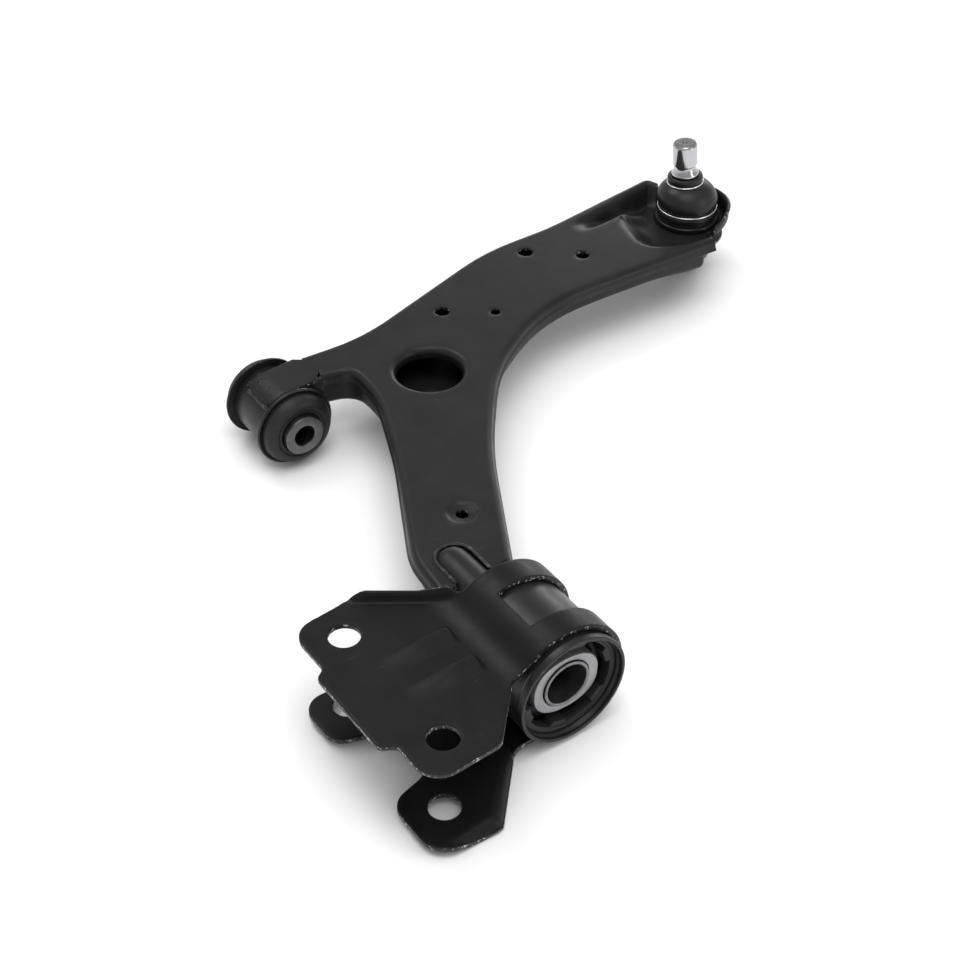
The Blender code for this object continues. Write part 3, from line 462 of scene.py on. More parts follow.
def vertex_normals(verts, faces):
    """Normals averaged by the angle of each face at the point."""
    nrm = np.zeros_like(verts)
    for f in faces:
        p = verts[list(f)]
        c = np.zeros(3)
        for i in range(1, len(f) - 1):
            c += np.cross(p[i] - p[0], p[i + 1] - p[0])
        c /= max(1e-12, np.linalg.norm(c))
        for k in range(len(f)):
            a = p[k - 1] - p[k]
            b = p[(k + 1) % len(f)] - p[k]
            w = math.acos(max(-1.0, min(1.0, float(a @ b) / (np.linalg.norm(a) * np.linalg.norm(b) + 1e-12))))
            nrm[f[k]] += c * w
    return nrm / np.linalg.norm(nrm, axis=1)[:, None]


def oriented(verts, faces, up):
    """Merged face of a sheet as points and faces, looking up for +1 and down for -1."""
    bm = bmesh.new()
    bv = [bm.verts.new(tuple(p)) for p in verts]
    for f in faces:
        bm.faces.new([bv[i] for i in f])
    bmesh.ops.remove_doubles(bm, verts=bm.verts, dist=0.02)
    bmesh.ops.recalc_face_normals(bm, faces=bm.faces)
    bm.normal_update()
    if sum(q.normal.z * q.calc_area() for q in bm.faces) * up < 0.0:
        bmesh.ops.reverse_faces(bm, faces=bm.faces)
    bm.verts.index_update()
    points = np.array([tuple(q.co) for q in bm.verts])
    loops = [tuple(q.index for q in face.verts) for face in bm.faces]
    bm.free()
    return points, loops


def open_edges(faces):
    """Directed edges that only one face uses."""
    used = set()
    for face in faces:
        used.update((face[i], face[(i + 1) % len(face)]) for i in range(len(face)))
    return [(a, b) for a, b in used if (b, a) not in used]


def outward(points, nrm, border):
    """Direction out of the sheet at each point of its border."""
    out = {}
    for a, b in border:
        d = points[b] - points[a]
        d /= np.linalg.norm(d)
        for i in (a, b):
            out[i] = out.get(i, np.zeros(3)) + np.cross(d, nrm[i])
    return out


def sheet(name, verts, faces, thick, up, mats, body, nodes, round_r=0.45):
    """Closed pressing from its outer face, with its cut edges rounded."""
    v, f = oriented(verts, faces, up)
    nrm = vertex_normals(v, f)
    border = open_edges(f)
    out = outward(v, nrm, border)
    n = len(v)
    inner = v - nrm * thick
    edge = sorted(out)
    top, bottom = v.copy(), inner.copy()
    corner = 0.293
    rings = [[] for _ in range(4)]
    for i in edge:
        r = out[i] / np.linalg.norm(out[i]) * round_r
        m = nrm[i] * round_r
        top[i] -= r
        bottom[i] -= r
        rings[0].append(v[i] - corner * (r + m))
        rings[1].append(v[i] - m)
        rings[2].append(inner[i] + m)
        rings[3].append(inner[i] + corner * (m - r))
    where = {i: k for k, i in enumerate(edge)}
    pts = np.vstack([top, bottom] + [np.array(q) for q in rings])
    quads = list(f) + [tuple(n + i for i in reversed(face)) for face in f]
    tags = [0] * len(quads)
    last = len(rings) + 1

    def level(i, k):
        if k in (0, last):
            return i + (n if k else 0)
        return 2 * n + (k - 1) * len(edge) + where[i]

    for a, b in border:
        for k in range(last):
            quads.append((level(b, k), level(a, k), level(a, k + 1), level(b, k + 1)))
            tags.append(1 if k == 2 else 0)
    return piece(name, pts, quads, mats, body, nodes, tags=tags, sharp=60.0)


def revolve(profile, centre, axis, n=96, close=True):
    """Turn (radius, along) points about an axis through centre; points on the axis become poles."""
    ax = Vector(axis).normalized()
    u = ax.orthogonal().normalized() if abs(ax.z) > 0.9 else Vector(UP).cross(ax).normalized()
    w = ax.cross(u)
    cen = Vector(tuple(centre))
    rows, verts, faces = [], [], []
    for r, h in profile:
        if r < 1e-6:
            rows.append([len(verts)] * n)
            verts.append(tuple(cen + ax * h))
            continue
        rows.append([len(verts) + i for i in range(n)])
        for i in range(n):
            t = 2 * math.pi * i / n
            verts.append(tuple(cen + ax * h + (u * math.cos(t) + w * math.sin(t)) * r))
    for a, b in list(zip(rows, rows[1:])) + ([(rows[-1], rows[0])] if close else []):
        for i in range(n):
            j = (i + 1) % n
            quad = []
            for q in (a[i], a[j], b[j], b[i]):
                if q not in quad:
                    quad.append(q)
            if len(quad) > 2:
                faces.append(tuple(quad))
    return verts, faces


def turning(name, profile, centre, axis, mats, body, nodes, n=96, close=True, sharp=40.0):
    """One piece turned from a profile."""
    verts, faces = revolve(profile, centre, axis, n, close)
    return piece(name, verts, faces, mats, body, nodes, sharp)


def ease(profile, radius=0.5, steps=3):
    """Round each corner of a closed (radius, along) profile by up to the given radius."""
    pts = [np.array(p, float) for p in profile]
    out = []
    for i, p in enumerate(pts):
        a, b = pts[i - 1] - p, pts[(i + 1) % len(pts)] - p
        la, lb = np.linalg.norm(a), np.linalg.norm(b)
        r = min(radius, la * 0.45, lb * 0.45)
        if p[0] < 1e-6 or r < 1e-4:
            out.append(tuple(p))
            continue
        for k in range(steps + 1):
            t = k / steps
            out.append(tuple(p + a / la * r * (1 - t) ** 2 + b / lb * r * t ** 2))
    return out


def curve(points, per=6):
    """Smooth open curve through the points (Catmull-Rom)."""
    p = [np.array(q, float) for q in points]
    p = [2 * p[0] - p[1]] + p + [2 * p[-1] - p[-2]]
    out = []
    for i in range(1, len(p) - 2):
        for k in range(per):
            t = k / per
            a = 2 * p[i] + (p[i + 1] - p[i - 1]) * t
            b = (2 * p[i - 1] - 5 * p[i] + 4 * p[i + 1] - p[i + 2]) * t * t
            c = (3 * p[i] - p[i - 1] - 3 * p[i + 1] + p[i + 2]) * t ** 3
            out.append(tuple((a + b + c) / 2.0))
    out.append(tuple(p[-2]))
    return out


# ---- arm outline --------------------------------------------------------------
FAR_SIDE = [(-331.0, 26.0, 0), (-328.5, 70.0, 134), (-366.7, 195.0, 167), (-366.7, 250.0, 200),
            (-380.0, 351.0, 7), (-369.5, 354.6, 0)]
NEAR_SIDE = [(-284.5, 338.0, 0), (-289.5, 191.0, 116), (-252.7, 127.2, 150), (-189.5, 77.8, 340),
             (-94.0, 26.0, 0)]
INNER_SIDE = [(-305.5, 26.0, 0), (-300.5, 45.5, 10), (-268.3, 45.3, 100), (-209.0, 21.0, 380),
              (-129.0, -20.6, 60), (-94.0, -24.2, 0)]
SMALL_HOLES = [(-348.0, 218.0, 5.1), (-323.0, 249.0, 4.7), (-321.0, 130.0, 5.1), (-301.0, 159.0, 3.6)]
DIMPLE = (-144.6, 25.8, 4.0)
BIG_HOLE = (-272.5, 87.5, 21.7)
COLLAR_R = 5.0
LEG_END = -94.0


def top_plane(x):
    return TOP_Z - TOP_SLOPE * (x + 115.0)


def top_height(x, y, far, near):
    """Top face of the upper pressing: pocket, valley and crest by the ball joint, dimple, and neck."""
    top = top_plane(x)
    z = top
    dx, dy = x - BALL[0], y - BALL[1]
    reach = math.hypot(dx, dy)
    if reach < POCKET_ZONE:
        q = np.array((x, y))
        to_far, to_near = gap_to(q, far), gap_to(q, near)
        turn = math.degrees(math.atan2(dy, dx))
        brink = 61.5 + 9.0 * bell(turn, -66.0, 16.0)
        hold = smooth(FOLD_R, 15.0, min(to_far, to_near)) if reach > 26.0 else 1.0
        z += (POCKET_Z - z) * smooth(brink, brink - 28.0, reach) * hold
        by_ball = smooth(262.0, 306.0, y)
        z += 4.2 * bell(to_far, 24.5, 5.0) * by_ball * smooth(26.0, 36.0, reach)
        z += 0.5 * bell(reach, brink, 5.0) * smooth(5.0, 13.0, min(to_far, to_near))
        valley = top - 12.0 * smooth(8.0, 13.5, to_far) * smooth(25.5, 16.0, to_far) * by_ball
        z = min(z, top + 0.6, valley)
    ring_d = math.hypot(x - DIMPLE[0], y - DIMPLE[1])
    z -= 1.4 * smooth(10.5, 7.4, ring_d)
    if y < 26.0 and x < -290.0:
        z += (FRONT_Z + EYE_R + SEAT + SHEET - z) * smooth(26.0, FRONT_Y, y)
    return z


def tongue(p):
    """Wrap the end of the upper pressing over the front eye."""
    x, y, _ = p
    if y >= FRONT_Y or x > -290.0:
        return p
    r = EYE_R + SEAT + SHEET
    t = (FRONT_Y - y) / r
    return (x, FRONT_Y - r * math.sin(t), FRONT_Z + r * math.cos(t))


def strip(path, profile, height):
    """Rings of (inset, drop) along a path, free edge first."""
    nrm = inward(path)
    return [[(x, y, height(x, y, drop)) for x, y in path + nrm * d] for d, drop in profile]


def stitch(rows, verts, faces):
    """Join neighbouring rows of points with quads."""
    base, n = len(verts), len(rows[0])
    for line in rows:
        verts.extend(line)
    for k in range(len(rows) - 1):
        for i in range(n - 1):
            a = base + k * n + i
            faces.append((a, a + 1, a + n + 1, a + n))


def fold_profile(radius, drop, flare):
    """Turned-down edge: flared free edge, straight wall, then a quarter circle."""
    wall = [(-flare * (1 - t), drop - (drop - radius) * t) for t in (0.0, 0.33, 0.66, 1.0)]
    bend = [(radius - q[0], radius - q[1]) for q in arc(0.0, 0.0, radius, 0.0, 90.0, 9)]
    return wall[:-1] + [(d, max(z, 0.0)) for d, z in bend]


def fold_edges(paths, profile, height, verts, faces):
    """Fold the edge down along each path; gives the lines where the folds meet the flat."""
    lines = []
    for path in paths:
        rows = strip(path, profile, height)
        stitch(rows, verts, faces)
        lines.append(np.array(rows[-1])[:, :2])
    return lines


def flat_face(outer, holes, step, place, verts, faces, extra=()):
    """Fill the flat between the folds, each point set at its place in space."""
    v2, tri = fill(outer, holes, step, extra)
    base = len(verts)
    verts.extend(place(x, y) for x, y in v2)
    faces.extend(tuple(base + i for i in f) for f in tri)


def tip_lip(height, verts, faces):
    """Upstanding lip round the outer side of the ball joint."""
    path = ring(BALL[0], BALL[1], TIP_R, 60, 4.0, 178.0)
    profile = [(SHEET - 1.6, 13.4), (SHEET - 0.9, 12.4), (SHEET - 0.2, 11.0), (SHEET, 9.0), (SHEET, 6.0)]
    profile += [(SHEET + 4.4 - q[0], 4.4 - q[1]) for q in arc(0.0, 0.0, 4.4, 0.0, 90.0, 7)]

    def rim(x, y, rise):
        t = math.degrees(math.atan2(y - BALL[1], x - BALL[0]))
        crown = 1.0 - 0.45 * smooth(40.0, 6.0, t) - 0.1 * smooth(150.0, 178.0, t) + 0.04 * bell(t, 62.0, 20.0)
        return POCKET_Z + rise * crown if rise > 0.001 else height(x, y)

    return fold_edges([path], profile, rim, verts, faces)[0]


def hole_collar(verts, faces):
    """Edge of the big hole, turned down."""
    cx, cy, cr = BIG_HOLE
    bend = [(COLLAR_R - q[0], COLLAR_R - q[1]) for q in arc(0.0, 0.0, COLLAR_R, 90.0, 0.0, 8)]
    rows = []
    for d, drop in bend + [(0.0, 6.6), (0.0, 8.0)]:
        loop = ring(cx, cy, cr + d, 72)
        loop = np.vstack([loop, loop[:1]])
        rows.append([(x, y, top_plane(x) - drop) for x, y in loop])
    stitch(rows, verts, faces)


def fine_points(lines):
    """Closer points round the dimple and along the folds by the ball joint."""
    points = []
    for r in (5.4, 7.4, 8.4, 9.4, 10.6):
        points += list(ring(DIMPLE[0], DIMPLE[1], r, 30))
    for path in lines:
        for d in np.arange(1.7, 21.0, 1.6):
            rail = path + inward(path) * d
            spread = np.vstack([rail, (rail[1:] + rail[:-1]) / 2.0])
            reach = np.hypot(spread[:, 0] - BALL[0], spread[:, 1] - BALL[1])
            points += list(spread[(reach > TIP_R) & (reach < POCKET_ZONE - 1.0)])
    return points


def upper_shell():
    far, near = rounded(FAR_SIDE)[::-1], rounded(NEAR_SIDE)[::-1]
    verts, faces = [], []

    def height(x, y):
        return top_height(x, y, far, near)

    def lip(x, y, drop):
        return top_plane(x) - drop if drop > 0.001 else height(x, y)

    profile = fold_profile(FOLD_R, LIP_DROP, 1.5)
    far_in, near_in, inner_in = fold_edges((far, near, rounded(INNER_SIDE)), profile, lip, verts, faces)
    tip_in = tip_lip(height, verts, faces)
    sides = (20.0, 14.0, 8.0, 4.0, FRONT_Y, -3.0, -6.0, -9.5, -12.5, -14.8)
    neck = [(-330.8, y) for y in sides] + [(-325.0, -15.6), (-317.0, -15.9), (-309.0, -15.6)]
    neck += [(-303.2, y) for y in sides[::-1]]
    notch = np.vstack([[(LEG_END, -12.0)], ring(-114.0, 0.0, 12.0, 25, 270.0, 90.0), [(LEG_END, 12.0)]])
    outer = np.vstack([far_in, neck, inner_in, notch, near_in, tip_in])
    holes = [ring(x, y, r, 28) for x, y, r in SMALL_HOLES + [DIMPLE]]
    holes.append(ring(BIG_HOLE[0], BIG_HOLE[1], BIG_HOLE[2] + COLLAR_R, 72))
    holes.append(ring(BALL[0], BALL[1], HOUSING_HOLE, 64))
    flat_face(outer, holes, 3.6, lambda x, y: tongue((x, y, height(x, y))), verts, faces,
              fine_points((far_in, near_in)))
    hole_collar(verts, faces)
    sheet("arm_upper_pressing", verts, faces, SHEET, 1.0, (ARM_COAT, ARM_EDGE), "arm", ("upper_shell",))


def lower_floor(x, y):
    """Underside of the lower pressing: level, raised at the ball joint, with a trough under the pin."""
    z = FLOOR_LOW + (FLOOR_HIGH - FLOOR_LOW) * smooth(110.0, 250.0, y) - FLOOR_DIP * smooth(280.0, 335.0, y)
    r = PIN_R + SHEET + 0.8
    if x > -137.0 and abs(y) < r:
        z += (min(z, REAR_Z - math.sqrt(r * r - y * y)) - z) * smooth(-137.0, -127.0, x)
    return z


def lower_shell():
    far = rounded(FAR_SIDE[:4] + [(-378.0, 343.0, 0)])[::-1]
    near = rounded([(-297.0, 342.6, 0), (-284.7, 336.0, 10.6)] + NEAR_SIDE[1:])[::-1]
    top_far, top_near = rounded(FAR_SIDE)[::-1], rounded(NEAR_SIDE)[::-1]
    verts, faces = [], []

    def wall(x, y, mark):
        """Wall height: a negative mark counts from the top edge, the others from the floor."""
        if mark < 0.0:
            under_rim = 3.0 * smooth(290.0, 315.0, y) if x < BALL[0] else 0.0
            under_top = top_height(x, y, top_far, top_near) - SHEET - 1.4
            edge = min(top_plane(x) - WALL_TOP - under_rim, under_top)
            return max(edge + WALL_TOP + mark, lower_floor(x, y) + 7.7)
        return lower_floor(x, y) + mark

    profile = [(4.5, -WALL_TOP), (4.5, -WALL_TOP - 3.8), (4.6, 7.5)]
    profile += [(4.7 + 5.3 - q[0], max(5.3 - q[1], 0.0)) for q in arc(0.0, 0.0, 5.3, 0.0, 90.0, 9)]
    far_in, near_in, inner_in = fold_edges((far, near, rounded(INNER_SIDE)), profile, wall, verts, faces)
    tip = ring(BALL[0], BALL[1], 27.0, 48, 8.0, 176.0)
    under_pin = (-15.0, -13.5, -12.0, -9.0, -6.0, -3.0, 0.0, 3.0, 6.0, 9.0, 12.0, 14.0, 16.0)
    outer = np.vstack([far_in, inner_in, [(LEG_END, y) for y in under_pin], near_in, tip])
    holes = [ring(BALL[0], BALL[1], HOUSING_HOLE, 64), ring(BIG_HOLE[0], BIG_HOLE[1], 9.0, 36)]
    holes.append(ring(-160.0, 28.0, 7.0, 30))
    flat_face(outer, holes, 5.0, lambda x, y: (x, y, lower_floor(x, y)), verts, faces)
    sheet("arm_lower_pressing", verts, faces, SHEET, -1.0, (LOW_COAT, ARM_EDGE), "arm", ("lower_shell",))


# ---- welds --------------------------------------------------------------------
def weld(name, path, outs, half, body, nodes=(), pitch=2.0, flat=0.62, seed=1):
    """Bead laid along a path in overlapping scales, tapered at both ends."""
    rnd = random.Random(seed)
    pts = np.array(path, float)
    up = np.array(outs, float)
    d = np.r_[0.0, np.cumsum(np.linalg.norm(np.diff(pts, axis=0), axis=1))]
    n = max(8, int(d[-1] / 0.4))
    s = np.linspace(0.0, d[-1], n)
    line = np.c_[[np.interp(s, d, pts[:, k]) for k in range(3)]].T
    lift = np.c_[[np.interp(s, d, up[:, k]) for k in range(3)]].T
    phase = [rnd.uniform(0, 6.28) for _ in range(3)]
    across = 13
    verts, faces = [], []
    for i in range(n):
        o = Vector(lift[i]).normalized()
        a, b = Vector(line[max(0, i - 1)]), Vector(line[min(n - 1, i + 1)])
        side = (b - a).cross(o).normalized()
        end = min(s[i], d[-1] - s[i])
        cap = math.sqrt(max(0.02, 1.0 - (1.0 - min(1.0, end / half)) ** 2))
        sway = 0.06 * math.sin(s[i] / 3.1 + phase[0]) + 0.05 * math.sin(s[i] / 1.3 + phase[1])
        w = half * cap * (1.0 + sway)
        for j in range(across):
            t = math.pi * j / (across - 1)
            scale = ((s[i] + 0.9 * math.sin(t)) / pitch) % 1.0
            h = half * flat * cap * (1.0 + 0.16 * scale + 0.4 * sway) * math.sin(t)
            verts.append(tuple(Vector(line[i]) + side * (w * math.cos(t)) + o * h))
    for i in range(n - 1):
        for j in range(across):
            a, b = i * across + j, i * across + (j + 1) % across
            faces.append((a, b, b + across, a + across))
    faces.append(tuple(range(across)))
    faces.append(tuple(reversed(range((n - 1) * across, n * across))))
    return piece(name, verts, faces, WELD, body, nodes, sharp=70.0)


def spatter(name, spots, body, seed):
    """Small drops of weld spatter, each a flattened dome sunk in the surface."""
    rnd = random.Random(seed)
    verts, faces = [], []
    for point, out in spots:
        o = Vector(out).normalized()
        u = o.orthogonal().normalized()
        w = o.cross(u)
        size = rnd.uniform(0.35, 0.85)
        base = len(verts)
        for j, t in enumerate((-20.0, 10.0, 45.0, 75.0)):
            c, s = math.cos(math.radians(t)), math.sin(math.radians(t))
            for i in range(8):
                a = math.pi * i / 4.0
                round_it = (u * math.cos(a) + w * math.sin(a)) * (size * c)
                verts.append(tuple(Vector(tuple(point)) + round_it + o * (size * 0.7 * s)))
            if j:
                for i in range(8):
                    a, b = base + (j - 1) * 8 + i, base + (j - 1) * 8 + (i + 1) % 8
                    faces.append((a, b, b + 8, a + 8))
        faces.append(tuple(base + 24 + i for i in range(8)))
        faces.append(tuple(base + i for i in reversed(range(8))))
    return piece(name, verts, faces, WELD, body, sharp=70.0)


def on_eye(x, angle, lift=0.0):
    """Point and outward direction on the front eye; angle from the top towards -Y."""
    t = math.radians(angle)
    out = (0.0, -math.sin(t), math.cos(t))
    r = EYE_R + SEAT + lift
    return (x, FRONT_Y + r * out[1], FRONT_Z + r * out[2]), out


def eye_seam(name, spots, half, seed, nodes=()):
    """Weld through (point, outward) pairs on the front eye."""
    weld(name, [p for p, _ in spots], [o for _, o in spots], half, "arm", nodes, seed=seed)


def eye_corner():
    """Weld plug between the tongue, the front eye and the end of the inner fold."""
    side = [on_eye(0.0, -a)[0][1:] for a in range(4, 80, 4)]
    side += [(28.5, FRONT_Z + 6.0), (28.5, TOP_Z + 0.6), (26.0, TOP_Z + 0.9), (16.0, TOP_Z + 0.8)]
    side.append((8.0, TOP_Z + 0.2))
    n = len(side)
    verts = [(x, y, z) for x in (-306.8, -304.2) for y, z in side]
    faces = [tuple(range(n)), tuple(reversed(range(n, 2 * n)))]
    faces += [(i, (i + 1) % n, n + (i + 1) % n, n + i) for i in range(n)]
    piece("eye_weld_corner", verts, faces, WELD, "arm", sharp=70.0)


def eye_welds():
    under = [on_eye(x, 42.4, 0.2) for x in np.linspace(-330.0, -304.0, 12)]
    eye_seam("eye_weld_under", under, 1.8, 3, ("eye_weld_front",))
    wall = [on_eye(x, -104.0, 0.2) for x in np.linspace(-326.0, -308.0, 10)]
    eye_seam("eye_weld_wall", wall, 1.8, 4, ("eye_weld_lower",))
    eye_seam("eye_weld_far_side", [on_eye(-331.6, a) for a in np.arange(-22.0, 36.0, 4.0)], 1.5, 5)
    eye_corner()
    near = [on_eye(-303.6, -a) for a in range(0, 84, 6)]
    eye_seam("eye_weld_near_side", [(p, (0.6, o[1], o[2])) for p, o in near], 1.7, 8)
    rnd = random.Random(11)
    spots = []
    for _ in range(26):
        x = rnd.choice((-333.4, -332.6, -331.9)) + rnd.uniform(-1.2, 0.6)
        spots.append(on_eye(x, rnd.uniform(-28.0, 50.0)))
    for _ in range(16):
        spots.append(on_eye(rnd.uniform(-329.0, -305.0), rnd.uniform(2.0, 36.0), SHEET))
    spatter("eye_spatter", spots, "arm", 12)


def hatch_marks():
    """Row of small raised bars across the top of the pin."""
    verts, faces = [], []
    for k in range(8):
        x = -110.0 + 1.7 * k
        base = len(verts)
        for dx, rise in ((-0.32, 0.02), (-0.18, 0.22), (0.18, 0.22), (0.32, 0.02)):
            for y in (-1.1, 2.1):
                verts.append((x + dx, y, REAR_Z - 0.12 + math.sqrt((PIN_R + rise) ** 2 - y * y)))
        sides = ((0, 1, 3, 2), (2, 3, 5, 4), (4, 5, 7, 6), (6, 7, 1, 0), (0, 2, 4, 6), (1, 7, 5, 3))
        faces += [tuple(base + i for i in side) for side in sides]
    piece("pin_hatch_marks", verts, faces, WELD, "arm")


def pin_welds():
    slot = [(-95.5, -11.6, 0), (-125.6, -11.6, 11.5), (-125.6, 11.6, 11.5), (-95.5, 11.6, 0)]
    pts = [(x, y, top_plane(x) + 0.1) for x, y in rounded(slot, 2.0, 8.0)]
    weld("pin_weld_slot", pts, [UP] * len(pts), 1.1, "arm", ("pin_weld_upper",), pitch=1.6, flat=0.5, seed=6)
    r = PIN_R + 2.1
    ang = np.radians(np.linspace(205.0, 335.0, 24))
    pts = [(-92.4, r * math.cos(a), REAR_Z + r * math.sin(a)) for a in ang]
    weld("pin_weld_leg", pts, [ALONG] * len(pts), 1.8, "arm", ("pin_weld_lower",), seed=7)
    hatch_marks()


# ---- front bush ---------------------------------------------------------------
BUSH = (0.0, FRONT_Y, FRONT_Z)


def front_eye():
    prof = ease([(EYE_R, EYE_FAR), (EYE_R, EYE_NEAR), (EYE_BORE, EYE_NEAR), (EYE_BORE, EYE_FAR)], 0.5)
    turning("front_eye", prof, BUSH, ALONG, EYE_COAT, "arm", ("front_eye_tube",))


def front_half(tag, face, sign, tip):
    """Flanged can and moulded rubber at one end of the eye; sign points outward."""
    def put(profile):
        return [(r, face + sign * h) for r, h in profile]

    out = EYE_BORE - SEAT
    can = [(FLANGE_R, 0.3), (FLANGE_R, 2.1), (FLANGE_R - 1.0, 2.7), (FLANGE_R - 2.0, 1.9), (out - 1.5, 1.9),
           (out - 1.5, -16.0), (out, -16.0), (out, 0.3)]
    turning("front_can_" + tag, ease(put(can), 0.45), BUSH, ALONG, CAN_COAT, "arm",
            ("front_bush_can_" + tag,))
    inner = SLEEVE_R + 0.3
    lift = 2.2
    reach = abs(tip - face)
    dome = curve([(FLANGE_R - 3.0, lift + 0.8), (FLANGE_R - 3.1, lift + 3.2), (FLANGE_R - 4.4, lift + 6.2),
                  (FLANGE_R - 7.4, lift + 8.6), (FLANGE_R - 9.6, lift + 9.0), (inner + 2.6, reach - 4.4),
                  (inner + 0.9, reach - 4.0), (inner, reach - 4.6)], 5)
    body = [(inner, -15.0), (out - 1.8, -15.0), (out - 1.8, lift), (FLANGE_R - 2.9, lift)] + dome
    turning("front_rubber_" + tag, put(body), BUSH, ALONG, BUSH_RUBBER, "arm", ("front_bush_rubber_" + tag,),
            sharp=50.0)


def front_sleeve():
    prof = [(SLEEVE_R, FRONT_NEAR), (SLEEVE_R, FRONT_FAR), (SLEEVE_BORE, FRONT_FAR),
            (SLEEVE_BORE, FRONT_NEAR)]
    turning("front_sleeve_tube", ease(prof, 0.8, 4), BUSH, ALONG, SLEEVE, "front_sleeve",
            ("front_bush_sleeve",))


# ---- rear pin and bush --------------------------------------------------------
def rear_pin():
    prof = [(PIN_R, -6.0), (PIN_R, -110.0), (PIN_R - 0.3, -118.0), (PIN_R - 1.2, -122.0),
            (PIN_R - 3.2, -124.6), (9.6, -125.5), (7.0, -125.5), (7.0, -114.0), (PIN_BORE, -106.0),
            (PIN_BORE, -6.0)]
    mats = (PIN_STEEL, PIN_BORE_SHADE, PIN_RIM)
    obj = turning("rear_pin_tube", ease(prof, 0.7, 4), REAR, ALONG, mats, "arm", ("rear_pin",))
    rim_x, axis_y, axis_z = row((-7.2, REAR[1], REAR[2]))
    for poly in obj.data.polygons:
        c = poly.center
        # Faces inside the bore take the material that paints the bore's shade.
        if math.hypot(c.y - axis_y, c.z - axis_z) < (PIN_BORE + 0.2) * MM:
            poly.material_index = 1
        if c.x > rim_x:
            poly.material_index = 2


def oval(a, b, n, power=2.3):
    """Squarish oval for the core's outline."""
    t = 2 * math.pi * np.arange(n) / n
    c, s = np.cos(t), np.sin(t)
    return np.c_[a * np.sign(c) * np.abs(c) ** (2 / power), b * np.sign(s) * np.abs(s) ** (2 / power)]


def rings_solid(name, rows, mat, body, nodes, sharp=40.0):
    """Closed tube about the rear axis from (x, loop) rows of equal length."""
    verts, faces = [], []
    for x, loop in rows:
        verts.extend((x, q[0], REAR_Z + q[1]) for q in loop)
    n, m = len(rows[0][1]), len(rows)
    for k in range(m):
        for i in range(n):
            j, kk = (i + 1) % n, (k + 1) % m
            faces.append((k * n + i, k * n + j, kk * n + j, kk * n + i))
    piece(name, verts, faces, mat, body, nodes, sharp=sharp)


def rear_core():
    n, hole = 128, PIN_R + 0.3
    rows = []
    for d, x in ((0.9, -7.0), (0.35, -7.15), (0.0, -7.8), (0.0, -77.2), (0.9, -78.0)):
        rows.append((x, oval(21.6 - d, 18.6 - d, n)))
    for d, x in ((0.9, -78.0), (0.0, -77.2), (0.0, -7.8), (0.3, -7.2), (0.9, -7.0)):
        rows.append((x, circle(hole + d, n)))
    rings_solid("rear_core", rows, CORE, "arm", ("rear_bush_core",))


def rear_rubber():
    n, r, a, b = 128, RUBBER_R, 21.9, 18.9
    rows = [(-15.6, oval(a + 0.3, b + 0.3, n)), (-14.4, oval(a + 1.4, b + 1.4, n)),
            (-13.9, oval(a + 3.0, b + 3.0, n)), (-14.6, oval(a + 5.0, b + 6.5, n, 2.1)),
            (-15.8, circle(r - 1.6, n)), (-16.5, circle(r, n)), (-63.0, circle(r, n)),
            (-64.2, circle(r - 1.5, n)), (-66.5, oval(a + 3.4, b + 3.4, n)),
            (-68.0, oval(a + 1.2, b + 1.2, n)), (-67.0, oval(a, b, n)), (-17.5, oval(a, b, n))]
    rings_solid("rear_rubber", rows, BUSH_RUBBER, "arm", ("rear_bush_rubber",), sharp=60.0)


def stop_ring():
    """Notched travel stop in the mouth of the can."""
    n, r = 384, RUBBER_R
    t = 360.0 * np.arange(n) / n
    edge = 1.0 / (1.0 + np.exp((abs(((t + 12.0) % 60.0) - 30.0) - 11.0) / 0.35))
    tab = 28.3 - 3.0 * edge
    c, s = np.cos(np.radians(t)), np.sin(np.radians(t))

    def loop(d):
        return np.c_[(tab + d) * c, (tab + d) * s]

    rows = [(-4.7, circle(r, n)), (-12.5, circle(r, n)), (-12.5, loop(0.4)), (-6.0, loop(0.0)),
            (-5.5, loop(0.2)), (-5.3, loop(0.7)), (-5.3, circle(29.6, n)), (-4.7, circle(30.2, n))]
    rings_solid("rear_stop_ring", rows, STOP_PLASTIC, "rear_bracket", ("rear_bush_stop_ring",))


def rear_can():
    prof = [(34.6, 0.0), (35.0, -0.5), (35.0, -4.4), (CAN_R, -5.6), (CAN_R, -75.0), (CAN_R - 1.0, -76.0),
            (31.6, -76.0), (31.6, -4.0), (32.8, -2.2), (32.8, 0.0)]
    turning("rear_can", ease(prof, 0.6), REAR, ALONG, CAN_COAT, "rear_bracket", ("rear_bush_can",), n=128)


# ---- bracket ------------------------------------------------------------------
STRAP_X = ((-7.0, -24.0), (-55.0, -72.0))
STRAP_END = 4.0
FLANGE_LINE = ((-72.0, -17.5), (-108.5, -72.0))
RIB_X, RIB_Y = (-54.0, -28.5), (-72.0, -45.0)
SKIRT_LINE, SKIRT_X = ((31.0, -68.0), (-7.0, -34.0)), 31.8
FLANGE_H, RIB_H, SKIRT_H = 6.5, 3.2, 4.6
WINDOW_TOP, WINDOW_LOW = 109.0, 118.0


def plate_path(level):
    """Bend radius, where the flat of a plate ends and the angle at which it meets the strap circle."""
    r = BLEND_TOP if level > 0.0 else BLEND_LOW
    h = abs(level) + r
    y = -math.sqrt((STRAP_R + r) ** 2 - h * h)
    return r, y, math.atan2(h, y)


